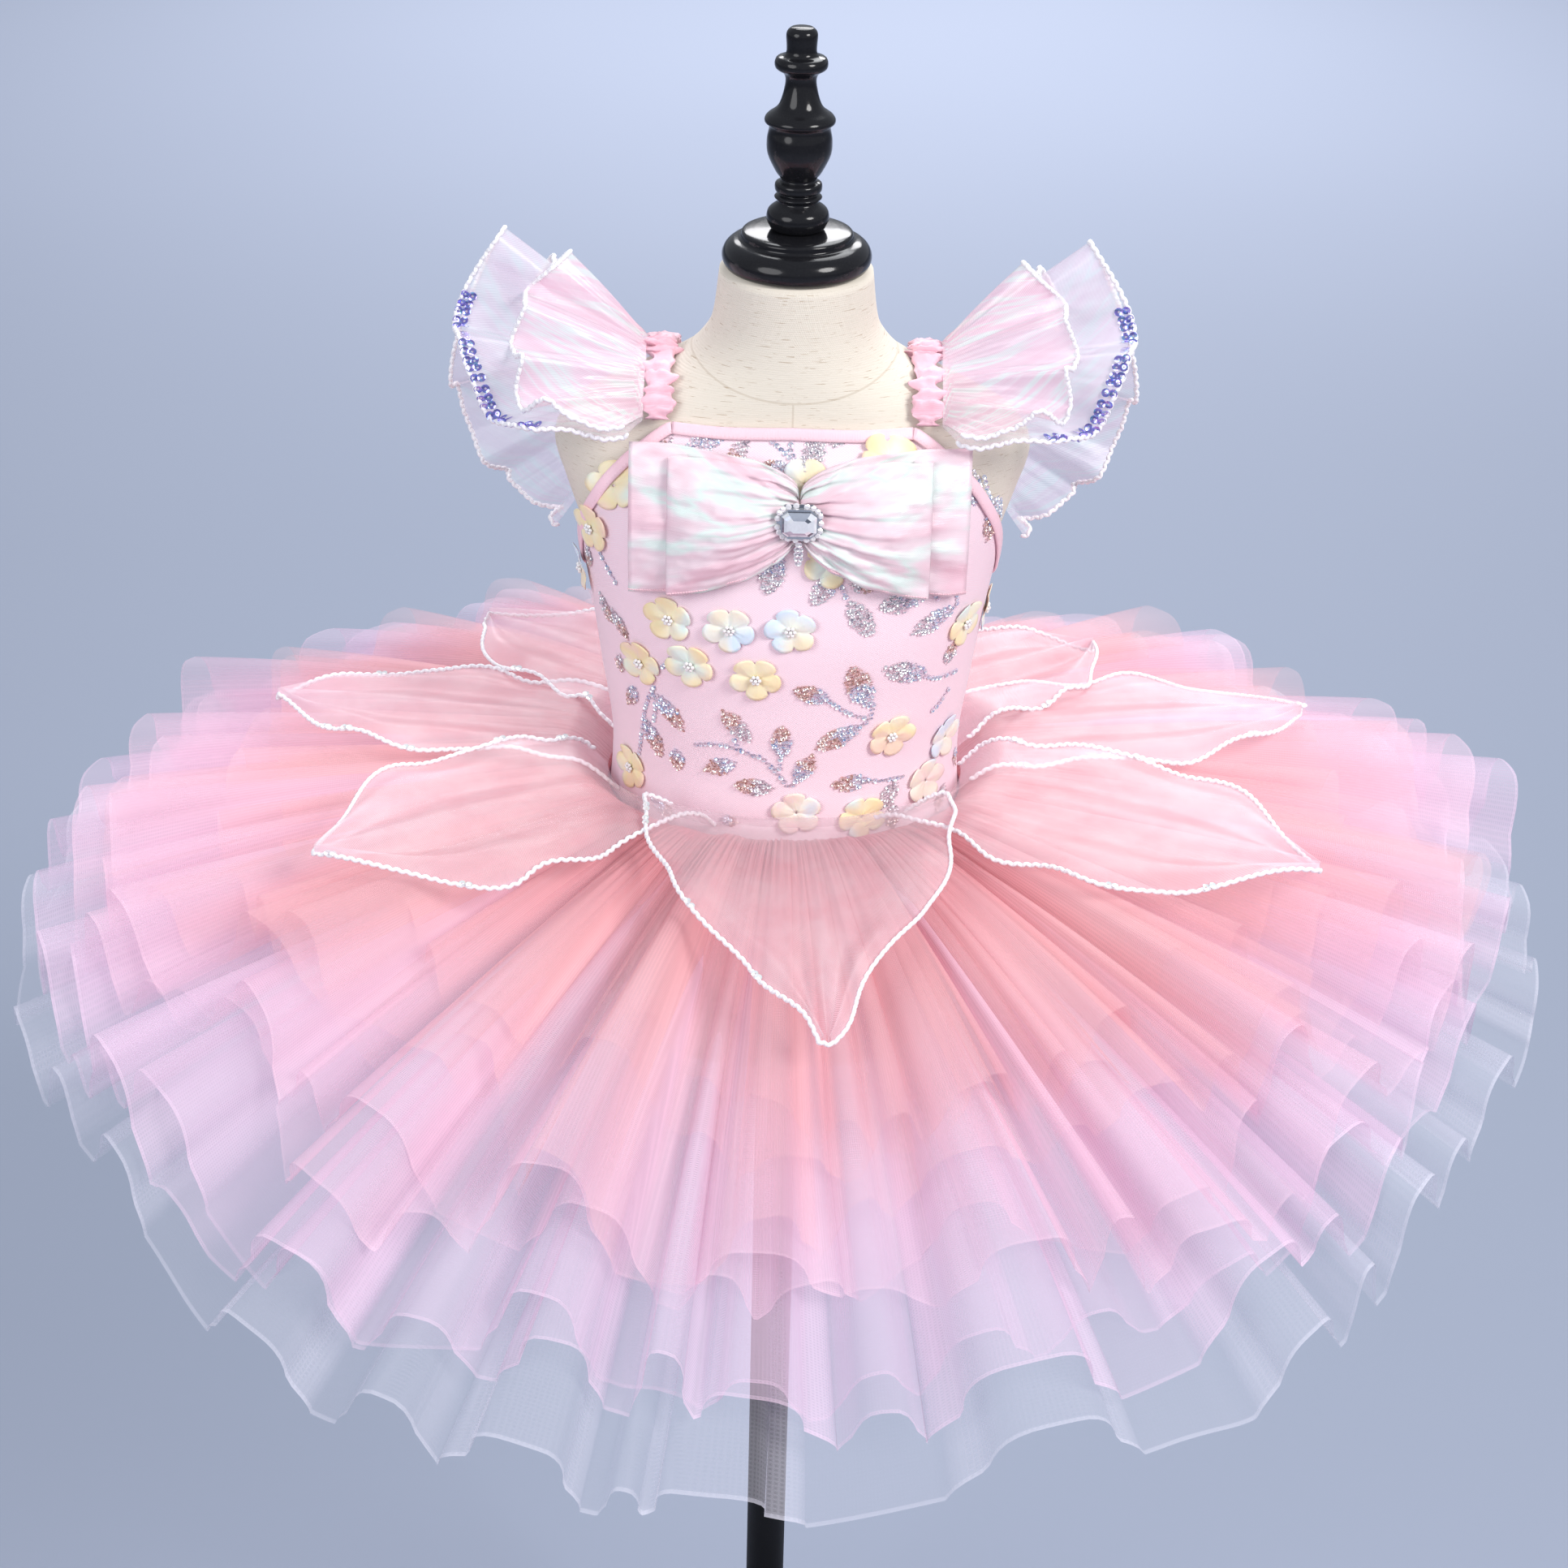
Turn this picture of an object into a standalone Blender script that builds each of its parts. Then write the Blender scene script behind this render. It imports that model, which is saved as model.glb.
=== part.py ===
"""A child's ballet dress on a limbless dress form, which stands on a pole and a round base.

Metres, +Z up, front is -Y, left and right are the wearer's. The origin is the middle of the base's underside.
Heights in the tables are measured from the natural waist. An azimuth is in degrees round the Z axis, 0 at the front
and positive towards +X.
"""
import math
import random

import bmesh
import bpy
from mathutils import Vector

# Driving sizes of the stand and the form
WAIST_HEIGHT = 0.860
BASE_RADIUS = 0.150
BASE_THICKNESS = 0.014
COLLAR_RADIUS = 0.030
COLLAR_HEIGHT = 0.045
POLE_RADIUS = 0.0125
SEAT_GAP = 0.0003
ROUND_STEPS = 20

# Horizontal sections of the form: height, half width, half depth, and the power of its rounded outline
FORM_SECTIONS = (
    dict(height=-0.170, width=0.098, depth=0.078, power=2.2),
    dict(height=-0.120, width=0.104, depth=0.084, power=2.2),
    dict(height=-0.060, width=0.100, depth=0.078, power=2.1),
    dict(height=-0.020, width=0.095, depth=0.073, power=2.0),
    dict(height=0.010, width=0.0935, depth=0.072, power=2.0),
    dict(height=0.060, width=0.099, depth=0.076, power=2.1),
    dict(height=0.110, width=0.1055, depth=0.081, power=2.3),
    dict(height=0.145, width=0.112, depth=0.080, power=2.4),
    dict(height=0.170, width=0.120, depth=0.073, power=2.4),
    dict(height=0.190, width=0.1255, depth=0.062, power=2.45),
    dict(height=0.203, width=0.118, depth=0.056, power=2.4),
    dict(height=0.215, width=0.098, depth=0.051, power=2.4),
    dict(height=0.227, width=0.074, depth=0.047, power=2.2),
    dict(height=0.240, width=0.053, depth=0.043, power=2.0),
    dict(height=0.255, width=0.043, depth=0.040, power=2.0),
    dict(height=0.281, width=0.0395, depth=0.038, power=2.0),
)

# Turned black wood above the neck, from the top down: radius and height above the neck's top
DISC_PROFILE = (
    (0.0215, 0.0205), (0.0280, 0.0195), (0.0290, 0.0160), (0.0335, 0.0145),
    (0.0370, 0.0115), (0.0385, 0.0070), (0.0368, 0.0020), (0.0330, 0.0003),
)
FINIAL_PROFILE = (
    (0.0055, 0.1225), (0.0078, 0.1195), (0.0078, 0.1100), (0.0125, 0.1075), (0.0130, 0.1030),
    (0.0085, 0.0995), (0.0080, 0.0940), (0.0110, 0.0840), (0.0168, 0.0790), (0.0178, 0.0760),
    (0.0155, 0.0735), (0.0165, 0.0670), (0.0160, 0.0595), (0.0120, 0.0510), (0.0090, 0.0465),
    (0.0118, 0.0445), (0.0118, 0.0410), (0.0100, 0.0395), (0.0122, 0.0375), (0.0105, 0.0350),
    (0.0150, 0.0310), (0.0160, 0.0265), (0.0145, 0.0225), (0.0130, 0.0208),
)

# Bodice
CLOTH = 0.0012
FORM_CLEARANCE = 0.0020
SEAM_GAP = 0.0003
BINDING_CLEARANCE = 0.0012
BODICE_HEM = -0.052
BODICE_LEVELS = (BODICE_HEM, -0.020, 0.010, 0.060, 0.105)
BODICE_UPPER_BANDS = 7
BINDING_WIDTH = 0.0065
# The bodice's top edge: azimuth from the middle, height at the front and at the back
TOP_EDGE = (
    dict(azimuth=0, front=0.2140, back=0.1900),
    dict(azimuth=18, front=0.2135, back=0.1900),
    dict(azimuth=36, front=0.2130, back=0.1895),
    dict(azimuth=52, front=0.2130, back=0.1890),
    dict(azimuth=55, front=0.2085, back=0.1835),
    dict(azimuth=58, front=0.2000, back=0.1770),
    dict(azimuth=61, front=0.1885, back=0.1685),
    dict(azimuth=64, front=0.1760, back=0.1600),
    dict(azimuth=72, front=0.1520, back=0.1430),
    dict(azimuth=81, front=0.1300, back=0.1270),
    dict(azimuth=90, front=0.1180, back=0.1180),
)
STRAP_CORNER = 52

# Strap: across its width, and its thickness
STRAP_WIDTH = 0.013
STRAP_THICKNESS = 0.004
STRAP_X = 0.0690
STRAP_STEPS = 10

# Skirt: hem of the longest layer by azimuth, the same on both sides, and how far the upper layers stand over it
HEM = (
    dict(azimuth=0, radius=0.412, drop=0.168, stand=1.0),
    dict(azimuth=28, radius=0.438, drop=0.130, stand=1.0),
    dict(azimuth=58, radius=0.422, drop=0.088, stand=1.0),
    dict(azimuth=90, radius=0.430, drop=0.095, stand=1.0),
    dict(azimuth=135, radius=0.428, drop=0.130, stand=0.7),
    dict(azimuth=180, radius=0.415, drop=0.175, stand=0.45),
)
SKIRT_CREST = -0.021
CREST_SHARE = 0.08
DROOP_POWER = 1.45
LAYER_STEP = 0.006
LIFT_POWER = 1.3
FLUTES = 22
FLUTE_SEED = 7
FLUTE_JITTER = 0.20
FLUTE_POWER = 1.7
FLUTE_PHASES = (-0.13, 0.13, 0.38, 0.62)
# Layers from the lowest up: seam height, share of the longest length, lift over the net, fold height, rings
SKIRT_LAYERS = (
    dict(name="skirt_net", level=0, seam=-0.044, length=1.00, lift=0.000, fold=0.021, rings=(0, 0.10, 0.36, 0.68, 1)),
    dict(name="skirt_pale_pink", level=1, seam=-0.036, length=0.96, lift=0.020, fold=0.023, rings=(0, 0.10, 0.52, 1)),
    dict(name="skirt_lilac_pink", level=2, seam=-0.028, length=0.84, lift=0.034, fold=0.025, rings=(0, 0.12, 0.52, 1)),
    dict(name="skirt_coral", level=3, seam=-0.020, length=0.68, lift=0.046, fold=0.026, rings=(0, 0.14, 0.55, 1)),
)

# Organza petals over the skirt: azimuth, radius of the tip, half width, outline, level in the overlap
PETALS = (
    dict(name="petal_front", azimuth=5, tip=0.270, half=0.089, outline="pointed", level=3),
    dict(name="petal_right_front", azimuth=-57, tip=0.284, half=0.068, outline="full", level=2),
    dict(name="petal_right_side", azimuth=-96, tip=0.292, half=0.052, outline="full", level=1),
    dict(name="petal_right_back", azimuth=-130, tip=0.240, half=0.055, outline="full", level=2),
    dict(name="petal_back", azimuth=180, tip=0.250, half=0.060, outline="full", level=1),
    dict(name="petal_left_back", azimuth=125, tip=0.225, half=0.055, outline="full", level=2),
    dict(name="petal_left_side", azimuth=98, tip=0.300, half=0.054, outline="full", level=1),
    dict(name="petal_left_front", azimuth=62, tip=0.312, half=0.068, outline="full", level=2),
)
# Half width of a petal along its length, as a share of its widest
PETAL_OUTLINE = (
    dict(along=0.00, pointed=0.92, full=0.80),
    dict(along=0.20, pointed=1.00, full=0.86),
    dict(along=0.42, pointed=0.88, full=0.96),
    dict(along=0.62, pointed=0.66, full=0.98),
    dict(along=0.74, pointed=0.38, full=0.80),
    dict(along=0.88, pointed=0.19, full=0.42),
    dict(along=1.00, pointed=0.03, full=0.03),
)
PETAL_COLUMNS = 4
PETAL_CLEARANCE = 0.0035
PETAL_STEP = 0.0032

# Wings, for the wearer's left side at +X: where a ruffle is sewn to the strap and the back armhole, and its edge
WING_LONG = (
    dict(root=(0.0762, -0.0480, 0.2146), edge=(0.0840, -0.0640, 0.2120)),
    dict(root=(0.0764, -0.0386, 0.2237), edge=(0.1345, -0.0640, 0.2130)),
    dict(root=(0.0764, -0.0268, 0.2302), edge=(0.1650, -0.0450, 0.2350)),
    dict(root=(0.0764, -0.0100, 0.2346), edge=(0.1720, -0.0180, 0.2620)),
    dict(root=(0.0764, 0.0020, 0.2374), edge=(0.1540, 0.0080, 0.2900)),
    dict(root=(0.0764, 0.0150, 0.2335), edge=(0.1720, 0.0300, 0.2500)),
    dict(root=(0.0764, 0.0325, 0.2262), edge=(0.1850, 0.0500, 0.2060)),
    dict(root=(0.0768, 0.0540, 0.2060), edge=(0.1820, 0.0680, 0.1640)),
    dict(root=(0.0990, 0.0580, 0.1695), edge=(0.1560, 0.0700, 0.1300)),
    dict(root=(0.1125, 0.0380, 0.1435), edge=(0.1250, 0.0520, 0.1150)),
)
WING_SHORT = (
    dict(root=(0.0762, -0.0496, 0.2170), edge=(0.0860, -0.0700, 0.2190)),
    dict(root=(0.0764, -0.0398, 0.2262), edge=(0.1310, -0.0680, 0.2290)),
    dict(root=(0.0764, -0.0275, 0.2329), edge=(0.1400, -0.0460, 0.2480)),
    dict(root=(0.0768, -0.0100, 0.2376), edge=(0.1380, -0.0200, 0.2680)),
    dict(root=(0.0768, 0.0020, 0.2406), edge=(0.1200, 0.0040, 0.2820)),
    dict(root=(0.0764, 0.0155, 0.2365), edge=(0.1350, 0.0280, 0.2640)),
    dict(root=(0.0764, 0.0335, 0.2291), edge=(0.1400, 0.0500, 0.2350)),
)
WING_WAVES = 6
WING_WAVE_HEIGHT = 0.009
WING_RINGS = (0, 0.35, 0.7, 1)
WING_CLOTH = 0.0012
WING_COLUMNS_PER_ROW = 2

# Bow: sideways place and height of its middle, and its two pairs of loops, outer ones behind
BOW_CENTRE = (0.0045, 0.178)
BOW_END_DROP = 0.010
BOW_KNOT_HALF_HEIGHT = 0.0095
BOW_LOOPS = (
    dict(name="bow_outer", length=0.0870, half_height=0.0385, knot_off=0.0014, stand_off=0.0014, puff=0.0),
    dict(name="bow_inner", length=0.0660, half_height=0.0345, knot_off=0.0036, stand_off=0.0060, puff=0.0080),
)
BOW_FLATNESS = 0.3
BOW_STEPS = (0, 0.12, 0.3, 0.55, 0.8, 1)
BOW_PLEATS = 4
BOW_PLEAT_DEPTH = 0.0010
BOW_FLARE_POWER = 0.55

# Brooch on the bow's middle
SETTING_HALF_WIDTH = 0.0115
SETTING_HALF_HEIGHT = 0.0100
SETTING_DEPTH = 0.0030
STONE_HALF_WIDTH = 0.0080
STONE_HALF_HEIGHT = 0.0062
STONE_DEPTH = 0.0035
BROOCH_GAP = 0.0017

# Applique flowers on the bodice, and how far they stand over it where they lie on a binding
FLOWER_RADIUS = 0.0130
FLOWER_THICKNESS = 0.0012
FLOWERS = (
    dict(azimuth=40, height=0.2010, over=0.0022),
    dict(azimuth=-65, height=0.1540, over=0.0008),
    dict(azimuth=-79, height=0.1190, over=0.0022),
    dict(azimuth=-40, height=0.1150, over=0.0),
    dict(azimuth=-20, height=0.1140, over=0.0),
    dict(azimuth=1, height=0.1150, over=0.0),
    dict(azimuth=-53, height=0.0815, over=0.0),
    dict(azimuth=-34, height=0.0890, over=0.0),
    dict(azimuth=-11, height=0.0855, over=0.0),
    dict(azimuth=41, height=0.0445, over=0.0),
    dict(azimuth=-66, height=0.0060, over=0.0),
    dict(azimuth=84, height=0.0960, over=0.0),
    dict(azimuth=63, height=0.1040, over=0.0),
    dict(azimuth=-105, height=0.0600, over=0.0),
    dict(azimuth=150, height=0.0900, over=0.0),
    dict(azimuth=-155, height=0.0500, over=0.0),
)

LINEN = (0.80, 0.71, 0.58)
BLACK_WOOD = (0.012, 0.012, 0.014)
PINK_CLOTH = (0.90, 0.66, 0.70)
CORAL_TULLE = (0.93, 0.56, 0.54)
LILAC_TULLE = (0.80, 0.62, 0.76)
PALE_TULLE = (0.90, 0.72, 0.80)
WHITE_NET = (0.82, 0.86, 0.88)
ORGANZA = (0.95, 0.80, 0.83)
YELLOW_CLOTH = (0.94, 0.82, 0.42)
SILVER = (0.80, 0.80, 0.82)
GLASS = (0.62, 0.66, 0.70)


def start_scene():
    """Empty the scene and return the collection that holds the object."""
    for old in list(bpy.data.objects):
        bpy.data.objects.remove(old)
    dress = bpy.data.collections.new("ballet_dress")
    bpy.context.scene.collection.children.link(dress)
    return dress


def finish(name, mesh, colour, roughness=0.7, metallic=0.0, smooth=True):
    """Make the named object of a mesh, with its own material."""
    obj = bpy.data.objects.new(name, mesh)
    COLLECTION.objects.link(obj)
    material = bpy.data.materials.new(name)
    material.use_nodes = True
    shader = material.node_tree.nodes["Principled BSDF"]
    shader.inputs["Base Color"].default_value = (*colour, 1)
    shader.inputs["Roughness"].default_value = roughness
    shader.inputs["Metallic"].default_value = metallic
    mesh.materials.append(material)
    if smooth:
        mesh.shade_smooth()
    return obj


def grid_mesh(name, rows, closed=False, capped=False):
    """A mesh of quads over rows of points. A closed one joins its last column to its first, and a capped one is
    shut at its first and last row."""
    mesh = bpy.data.meshes.new(name)
    build = bmesh.new()
    verts = [[build.verts.new(point) for point in row] for row in rows]
    columns = len(rows[0])
    for lower, upper in zip(verts, verts[1:]):
        for column in range(columns if closed else columns - 1):
            after = (column + 1) % columns
            build.faces.new((lower[column], lower[after], upper[after], upper[column]))
    if capped:
        build.faces.new(list(reversed(verts[0])))
        build.faces.new(verts[-1])
    build.to_mesh(mesh)
    build.free()
    return mesh


def cloth(name, rows, colour, thickness=CLOTH, closed=False, roughness=0.7):
    """A wall of cloth whose rows run so that its faces look outwards: it gets its thickness on that side."""
    obj = finish(name, grid_mesh(name, rows, closed), colour, roughness)
    wall = obj.modifiers.new("wall", "SOLIDIFY")
    wall.thickness = thickness
    wall.offset = 1.0
    return obj


def between(table, key, column, value):
    """The column's value at a place along the table, straight from row to row."""
    for low, high in zip(table, table[1:]):
        if value <= high[key]:
            share = (value - low[key]) / (high[key] - low[key])
            return low[column] + (high[column] - low[column]) * max(share, 0.0)
    return table[-1][column]


def eased(table, key, column, value):
    """As between, but level at each row."""
    for low, high in zip(table, table[1:]):
        if value <= high[key]:
            share = (value - low[key]) / (high[key] - low[key])
            share = 0.5 - 0.5 * math.cos(math.pi * share)
            return low[column] + (high[column] - low[column]) * share
    return table[-1][column]


def polar(radius, azimuth, height):
    """A point round the form's axis, its height taken from the waist."""
    turn = math.radians(azimuth)
    return Vector((radius * math.sin(turn), -radius * math.cos(turn), WAIST_HEIGHT + height))


def folded(azimuth):
    """The azimuth as 0 at the front to 180 at the back, on either side."""
    return abs((azimuth + 180.0) % 360.0 - 180.0)


def form_radius(azimuth, height):
    """Radius of the form's outline at a height."""
    width, depth, power = (between(FORM_SECTIONS, "height", key, height) for key in ("width", "depth", "power"))
    turn = math.radians(azimuth)
    across = abs(math.sin(turn)) / width
    along = abs(math.cos(turn)) / depth
    return (across ** power + along ** power) ** (-1.0 / power)


def on_form(azimuth, height, out=0.0):
    """A point on the form, moved out from it."""
    return polar(form_radius(azimuth, height) + out, azimuth, height)


def column_azimuths():
    """Azimuths that the form and the bodice share, closer together at the armholes, once round."""
    quarter = [row["azimuth"] for row in TOP_EDGE]
    half = quarter + [180 - azimuth for azimuth in reversed(quarter[:-1])]
    return half + [360 - azimuth for azimuth in reversed(half[1:-1])]


def lathe(name, profile, colour, roughness, lift):
    """A solid turned from a profile of radius and height, top to bottom."""
    mesh = bpy.data.meshes.new(name)
    build = bmesh.new()
    points = [(0.0, profile[0][1]), *profile, (0.0, profile[-1][1])]
    verts = [build.verts.new((radius, 0, lift + height)) for radius, height in points]
    for upper, lower in zip(verts, verts[1:]):
        build.edges.new((upper, lower))
    build.to_mesh(mesh)
    build.free()
    obj = finish(name, mesh, colour, roughness)
    turned = obj.modifiers.new("turned", "SCREW")
    turned.steps = turned.render_steps = ROUND_STEPS
    turned.use_merge_vertices = True
    turned.merge_threshold = 0.00005
    return obj


def make_form():
    """The torso, its black neck disc and finial, and the stand."""
    rows = []
    for section in FORM_SECTIONS:
        rows.append([on_form(azimuth, section["height"]) for azimuth in column_azimuths()])
    finish("form_torso", grid_mesh("form_torso", rows, closed=True, capped=True), LINEN, 0.85)
    neck_top = WAIST_HEIGHT + FORM_SECTIONS[-1]["height"]
    lathe("neck_disc", DISC_PROFILE, BLACK_WOOD, 0.15, neck_top)
    lathe("finial", FINIAL_PROFILE, BLACK_WOOD, 0.15, neck_top)
    form_foot = WAIST_HEIGHT + FORM_SECTIONS[0]["height"]
    plate = ((BASE_RADIUS - 0.004, BASE_THICKNESS), (BASE_RADIUS, BASE_THICKNESS - 0.004), (BASE_RADIUS, 0))
    lathe("base_plate", plate, BLACK_WOOD, 0.3, 0.0)
    collar_foot = BASE_THICKNESS + SEAT_GAP
    collar = (
        (POLE_RADIUS + 0.004, COLLAR_HEIGHT), (COLLAR_RADIUS * 0.6, 0.012),
        (COLLAR_RADIUS, 0.004), (COLLAR_RADIUS, 0),
    )
    lathe("base_collar", collar, BLACK_WOOD, 0.3, collar_foot)
    pole_foot = collar_foot + COLLAR_HEIGHT + SEAT_GAP
    pole = ((POLE_RADIUS, form_foot - SEAT_GAP - pole_foot), (POLE_RADIUS, 0))
    lathe("pole", pole, BLACK_WOOD, 0.3, pole_foot)


def top_edge(azimuth):
    """Height of the bodice's top edge."""
    place = folded(azimuth)
    if place <= 90:
        return between(TOP_EDGE, "azimuth", "front", place)
    return between(TOP_EDGE, "azimuth", "back", 180 - place)


def bodice_rows(azimuths, seam_low, seam_high):
    """Rows of a bodice panel, from its hem up. Its side edges stop half a seam gap short."""
    rows = []
    low, high = azimuths[0] + seam_low, azimuths[-1] - seam_high
    columns = [low, *azimuths[1:-1], high]
    for height in BODICE_LEVELS:
        rows.append([on_form(azimuth, height, FORM_CLEARANCE) for azimuth in columns])
    for band in range(1, BODICE_UPPER_BANDS + 1):
        row = []
        for azimuth in columns:
            start = BODICE_LEVELS[-1]
            height = start + (top_edge(azimuth) - start) * band / BODICE_UPPER_BANDS
            row.append(on_form(azimuth, height, FORM_CLEARANCE))
        rows.append(row)
    return rows


def binding_rows(azimuths):
    """Rows of a binding along the bodice's top edge."""
    out = FORM_CLEARANCE + CLOTH + BINDING_CLEARANCE
    lower = [on_form(azimuth, top_edge(azimuth) - BINDING_WIDTH, out) for azimuth in azimuths]
    upper = [on_form(azimuth, top_edge(azimuth), out) for azimuth in azimuths]
    return [lower, upper]


def make_bodice():
    """Front and back, meeting at the side seams, and their bindings."""
    quarter = [row["azimuth"] for row in TOP_EDGE]
    half = [-azimuth for azimuth in reversed(quarter[1:])] + quarter
    seam = math.degrees(0.5 * SEAM_GAP / 0.095)
    cloth("bodice_front", bodice_rows(half, seam, seam), PINK_CLOTH)
    back = [azimuth + 180 for azimuth in half]
    cloth("bodice_back", bodice_rows(back, seam, seam), PINK_CLOTH)
    corner = STRAP_CORNER
    neck = [azimuth for azimuth in half if abs(azimuth) <= corner]
    gap = math.degrees(SEAM_GAP / 0.080)
    cloth("neck_binding_front", binding_rows(neck), PINK_CLOTH)
    cloth("neck_binding_back", binding_rows([azimuth + 180 for azimuth in neck]), PINK_CLOTH)
    side = [azimuth for azimuth in quarter if azimuth >= corner]
    side += [180 - azimuth for azimuth in reversed(side[:-1])]
    side = [side[0] + gap, *side[1:-1], side[-1] - gap]
    cloth("armhole_binding_left", binding_rows(side), PINK_CLOTH)
    cloth("armhole_binding_right", binding_rows([-azimuth for azimuth in reversed(side)]), PINK_CLOTH)


def form_depth_at(x, height):
    """How far in front of the axis the form's surface lies at a sideways place."""
    width, depth, power = (between(FORM_SECTIONS, "height", key, height) for key in ("width", "depth", "power"))
    if x >= width:
        return 0.0
    return depth * (1 - (x / width) ** power) ** (1 / power)


def shoulder_height(x):
    """Height at which the form is only as wide as a sideways place, above its shoulder tips."""
    low, high = 0.195, 0.280
    for _ in range(30):
        middle = 0.5 * (low + high)
        if between(FORM_SECTIONS, "height", "width", middle) > x:
            low = middle
        else:
            high = middle
    return low


def strap_path():
    """Points along the middle of a strap's underside, from the front over the shoulder to the back."""
    crest = shoulder_height(STRAP_X - 0.5 * STRAP_WIDTH)
    clear = FORM_CLEARANCE + CLOTH + 2 * SEAM_GAP
    path = []
    for step in range(STRAP_STEPS + 1):
        turn = math.pi * step / STRAP_STEPS
        end = 0.2140 if step <= STRAP_STEPS / 2 else 0.1905
        height = end + (crest + clear - end) * math.sin(turn) ** 0.8
        depth = form_depth_at(STRAP_X - 0.5 * STRAP_WIDTH, min(height, crest)) + 0.0035
        side = 1 if math.cos(turn) > 0 else -1
        y = -side * min(depth, abs(0.062 * math.cos(turn)) + 0.001)
        path.append(Vector((STRAP_X, y, WAIST_HEIGHT + height + 0.001)))
    return path


def make_straps():
    """Ruched straps over the shoulders."""
    path = strap_path()
    for name, side in (("strap_left", 1), ("strap_right", -1)):
        rows = []
        for point in path:
            inner = Vector((side * (STRAP_X - 0.5 * STRAP_WIDTH), point.y, point.z))
            outer = Vector((side * (STRAP_X + 0.5 * STRAP_WIDTH), point.y, point.z - 0.0015))
            rows.append([inner, outer] if side < 0 else [outer, inner])
        rows.reverse()
        cloth(name, rows, PINK_CLOTH, STRAP_THICKNESS)


def flute_grid(layer):
    """Where each fold of a layer starts, in degrees, and how high it stands, once round and one more."""
    shared = random.Random(FLUTE_SEED)
    own = random.Random(FLUTE_SEED + 10 + layer["level"])
    pitch = 360.0 / FLUTES
    grid = []
    for fold in range(FLUTES):
        shift = shared.uniform(-FLUTE_JITTER, FLUTE_JITTER) + own.uniform(-0.05, 0.05)
        grid.append(dict(start=(fold + shift) * pitch, height=shared.uniform(0.75, 1.15), reach=own.uniform(-1, 1)))
    grid.append(dict(start=grid[0]["start"] + 360.0, height=grid[0]["height"], reach=grid[0]["reach"]))
    return grid


def hem_of(azimuth):
    """Radius and drop of the longest layer's hem."""
    place = folded(azimuth)
    return eased(HEM, "azimuth", "radius", place), eased(HEM, "azimuth", "drop", place)


def lift_of(layer, azimuth, run):
    """How far a layer stands over the net."""
    return layer["lift"] * eased(HEM, "azimuth", "stand", folded(azimuth)) * run ** LIFT_POWER


def skirt_height(layer, azimuth, run, wave):
    """Height of a layer where it has come a share of the longest length, on a fold of that wave."""
    crest = SKIRT_CREST + layer["level"] * LAYER_STEP
    if run < CREST_SHARE:
        share = run / CREST_SHARE
        height = layer["seam"] + (crest - layer["seam"]) * math.sin(0.5 * math.pi * share)
    else:
        drop = hem_of(azimuth)[1] + SKIRT_CREST
        height = crest - drop * ((run - CREST_SHARE) / (1 - CREST_SHARE)) ** DROOP_POWER
    return height + lift_of(layer, azimuth, run) + layer["fold"] * run ** FLUTE_POWER * wave


def seam_radius(azimuth, height):
    """Radius where a skirt layer meets the bodice."""
    return form_radius(azimuth, height) + FORM_CLEARANCE + 2 * CLOTH + SEAM_GAP


def skirt_point(layer, azimuth, share, wave, reach=0.0):
    """A point of a skirt layer, a share of the way from its seam to its hem."""
    run = share * layer["length"] * (1 + 0.015 * reach * share)
    start = seam_radius(azimuth, layer["seam"])
    radius = start + (hem_of(azimuth)[0] - start) * run
    return polar(radius, azimuth, skirt_height(layer, azimuth, run, wave))


def make_skirt():
    """The fluted layers, each one wall."""
    colours = dict(skirt_net=WHITE_NET, skirt_pale_pink=PALE_TULLE, skirt_lilac_pink=LILAC_TULLE, skirt_coral=CORAL_TULLE)
    for layer in SKIRT_LAYERS:
        grid = flute_grid(layer)
        columns = []
        for here, after in zip(grid, grid[1:]):
            for phase in FLUTE_PHASES:
                azimuth = here["start"] + phase * (after["start"] - here["start"])
                height = here["height"] + (after["height"] - here["height"]) * max(phase, 0)
                wave = height * math.cos(2 * math.pi * phase)
                columns.append((azimuth, wave, here["reach"]))
        rows = []
        for share in layer["rings"]:
            rows.append([skirt_point(layer, azimuth, share, wave, reach) for azimuth, wave, reach in columns])
        rows.reverse()
        cloth(layer["name"], rows, colours[layer["name"]], closed=True)


def petal_point(petal, along, across):
    """A point of a petal: along from the seam to the tip, across from -1 to 1."""
    coral = SKIRT_LAYERS[-1]
    start = seam_radius(petal["azimuth"], coral["seam"])
    radius = start + (petal["tip"] - start) * along
    half = petal["half"] * between(PETAL_OUTLINE, "along", petal["outline"], along)
    azimuth = petal["azimuth"] + math.degrees(half * across / max(radius, 0.105))
    base = seam_radius(azimuth, coral["seam"])
    if along < 0.3:
        radius = radius + (base - start) * (1 - along / 0.3)
    run = (radius - base) / (hem_of(azimuth)[0] - base)
    lift = PETAL_CLEARANCE + petal["level"] * PETAL_STEP
    height = skirt_height(coral, azimuth, max(run, 0), 1.0) + lift
    return polar(radius, azimuth, height + 0.003 * along * math.cos(3 * math.pi * across))


def make_petals():
    """Organza petals sewn in above the skirt layers."""
    for petal in PETALS:
        rows = []
        for row in PETAL_OUTLINE:
            shares = [2 * column / PETAL_COLUMNS - 1 for column in range(PETAL_COLUMNS + 1)]
            rows.append([petal_point(petal, row["along"], across) for across in shares])
        rows.reverse()
        cloth(petal["name"], rows, ORGANZA)


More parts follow.
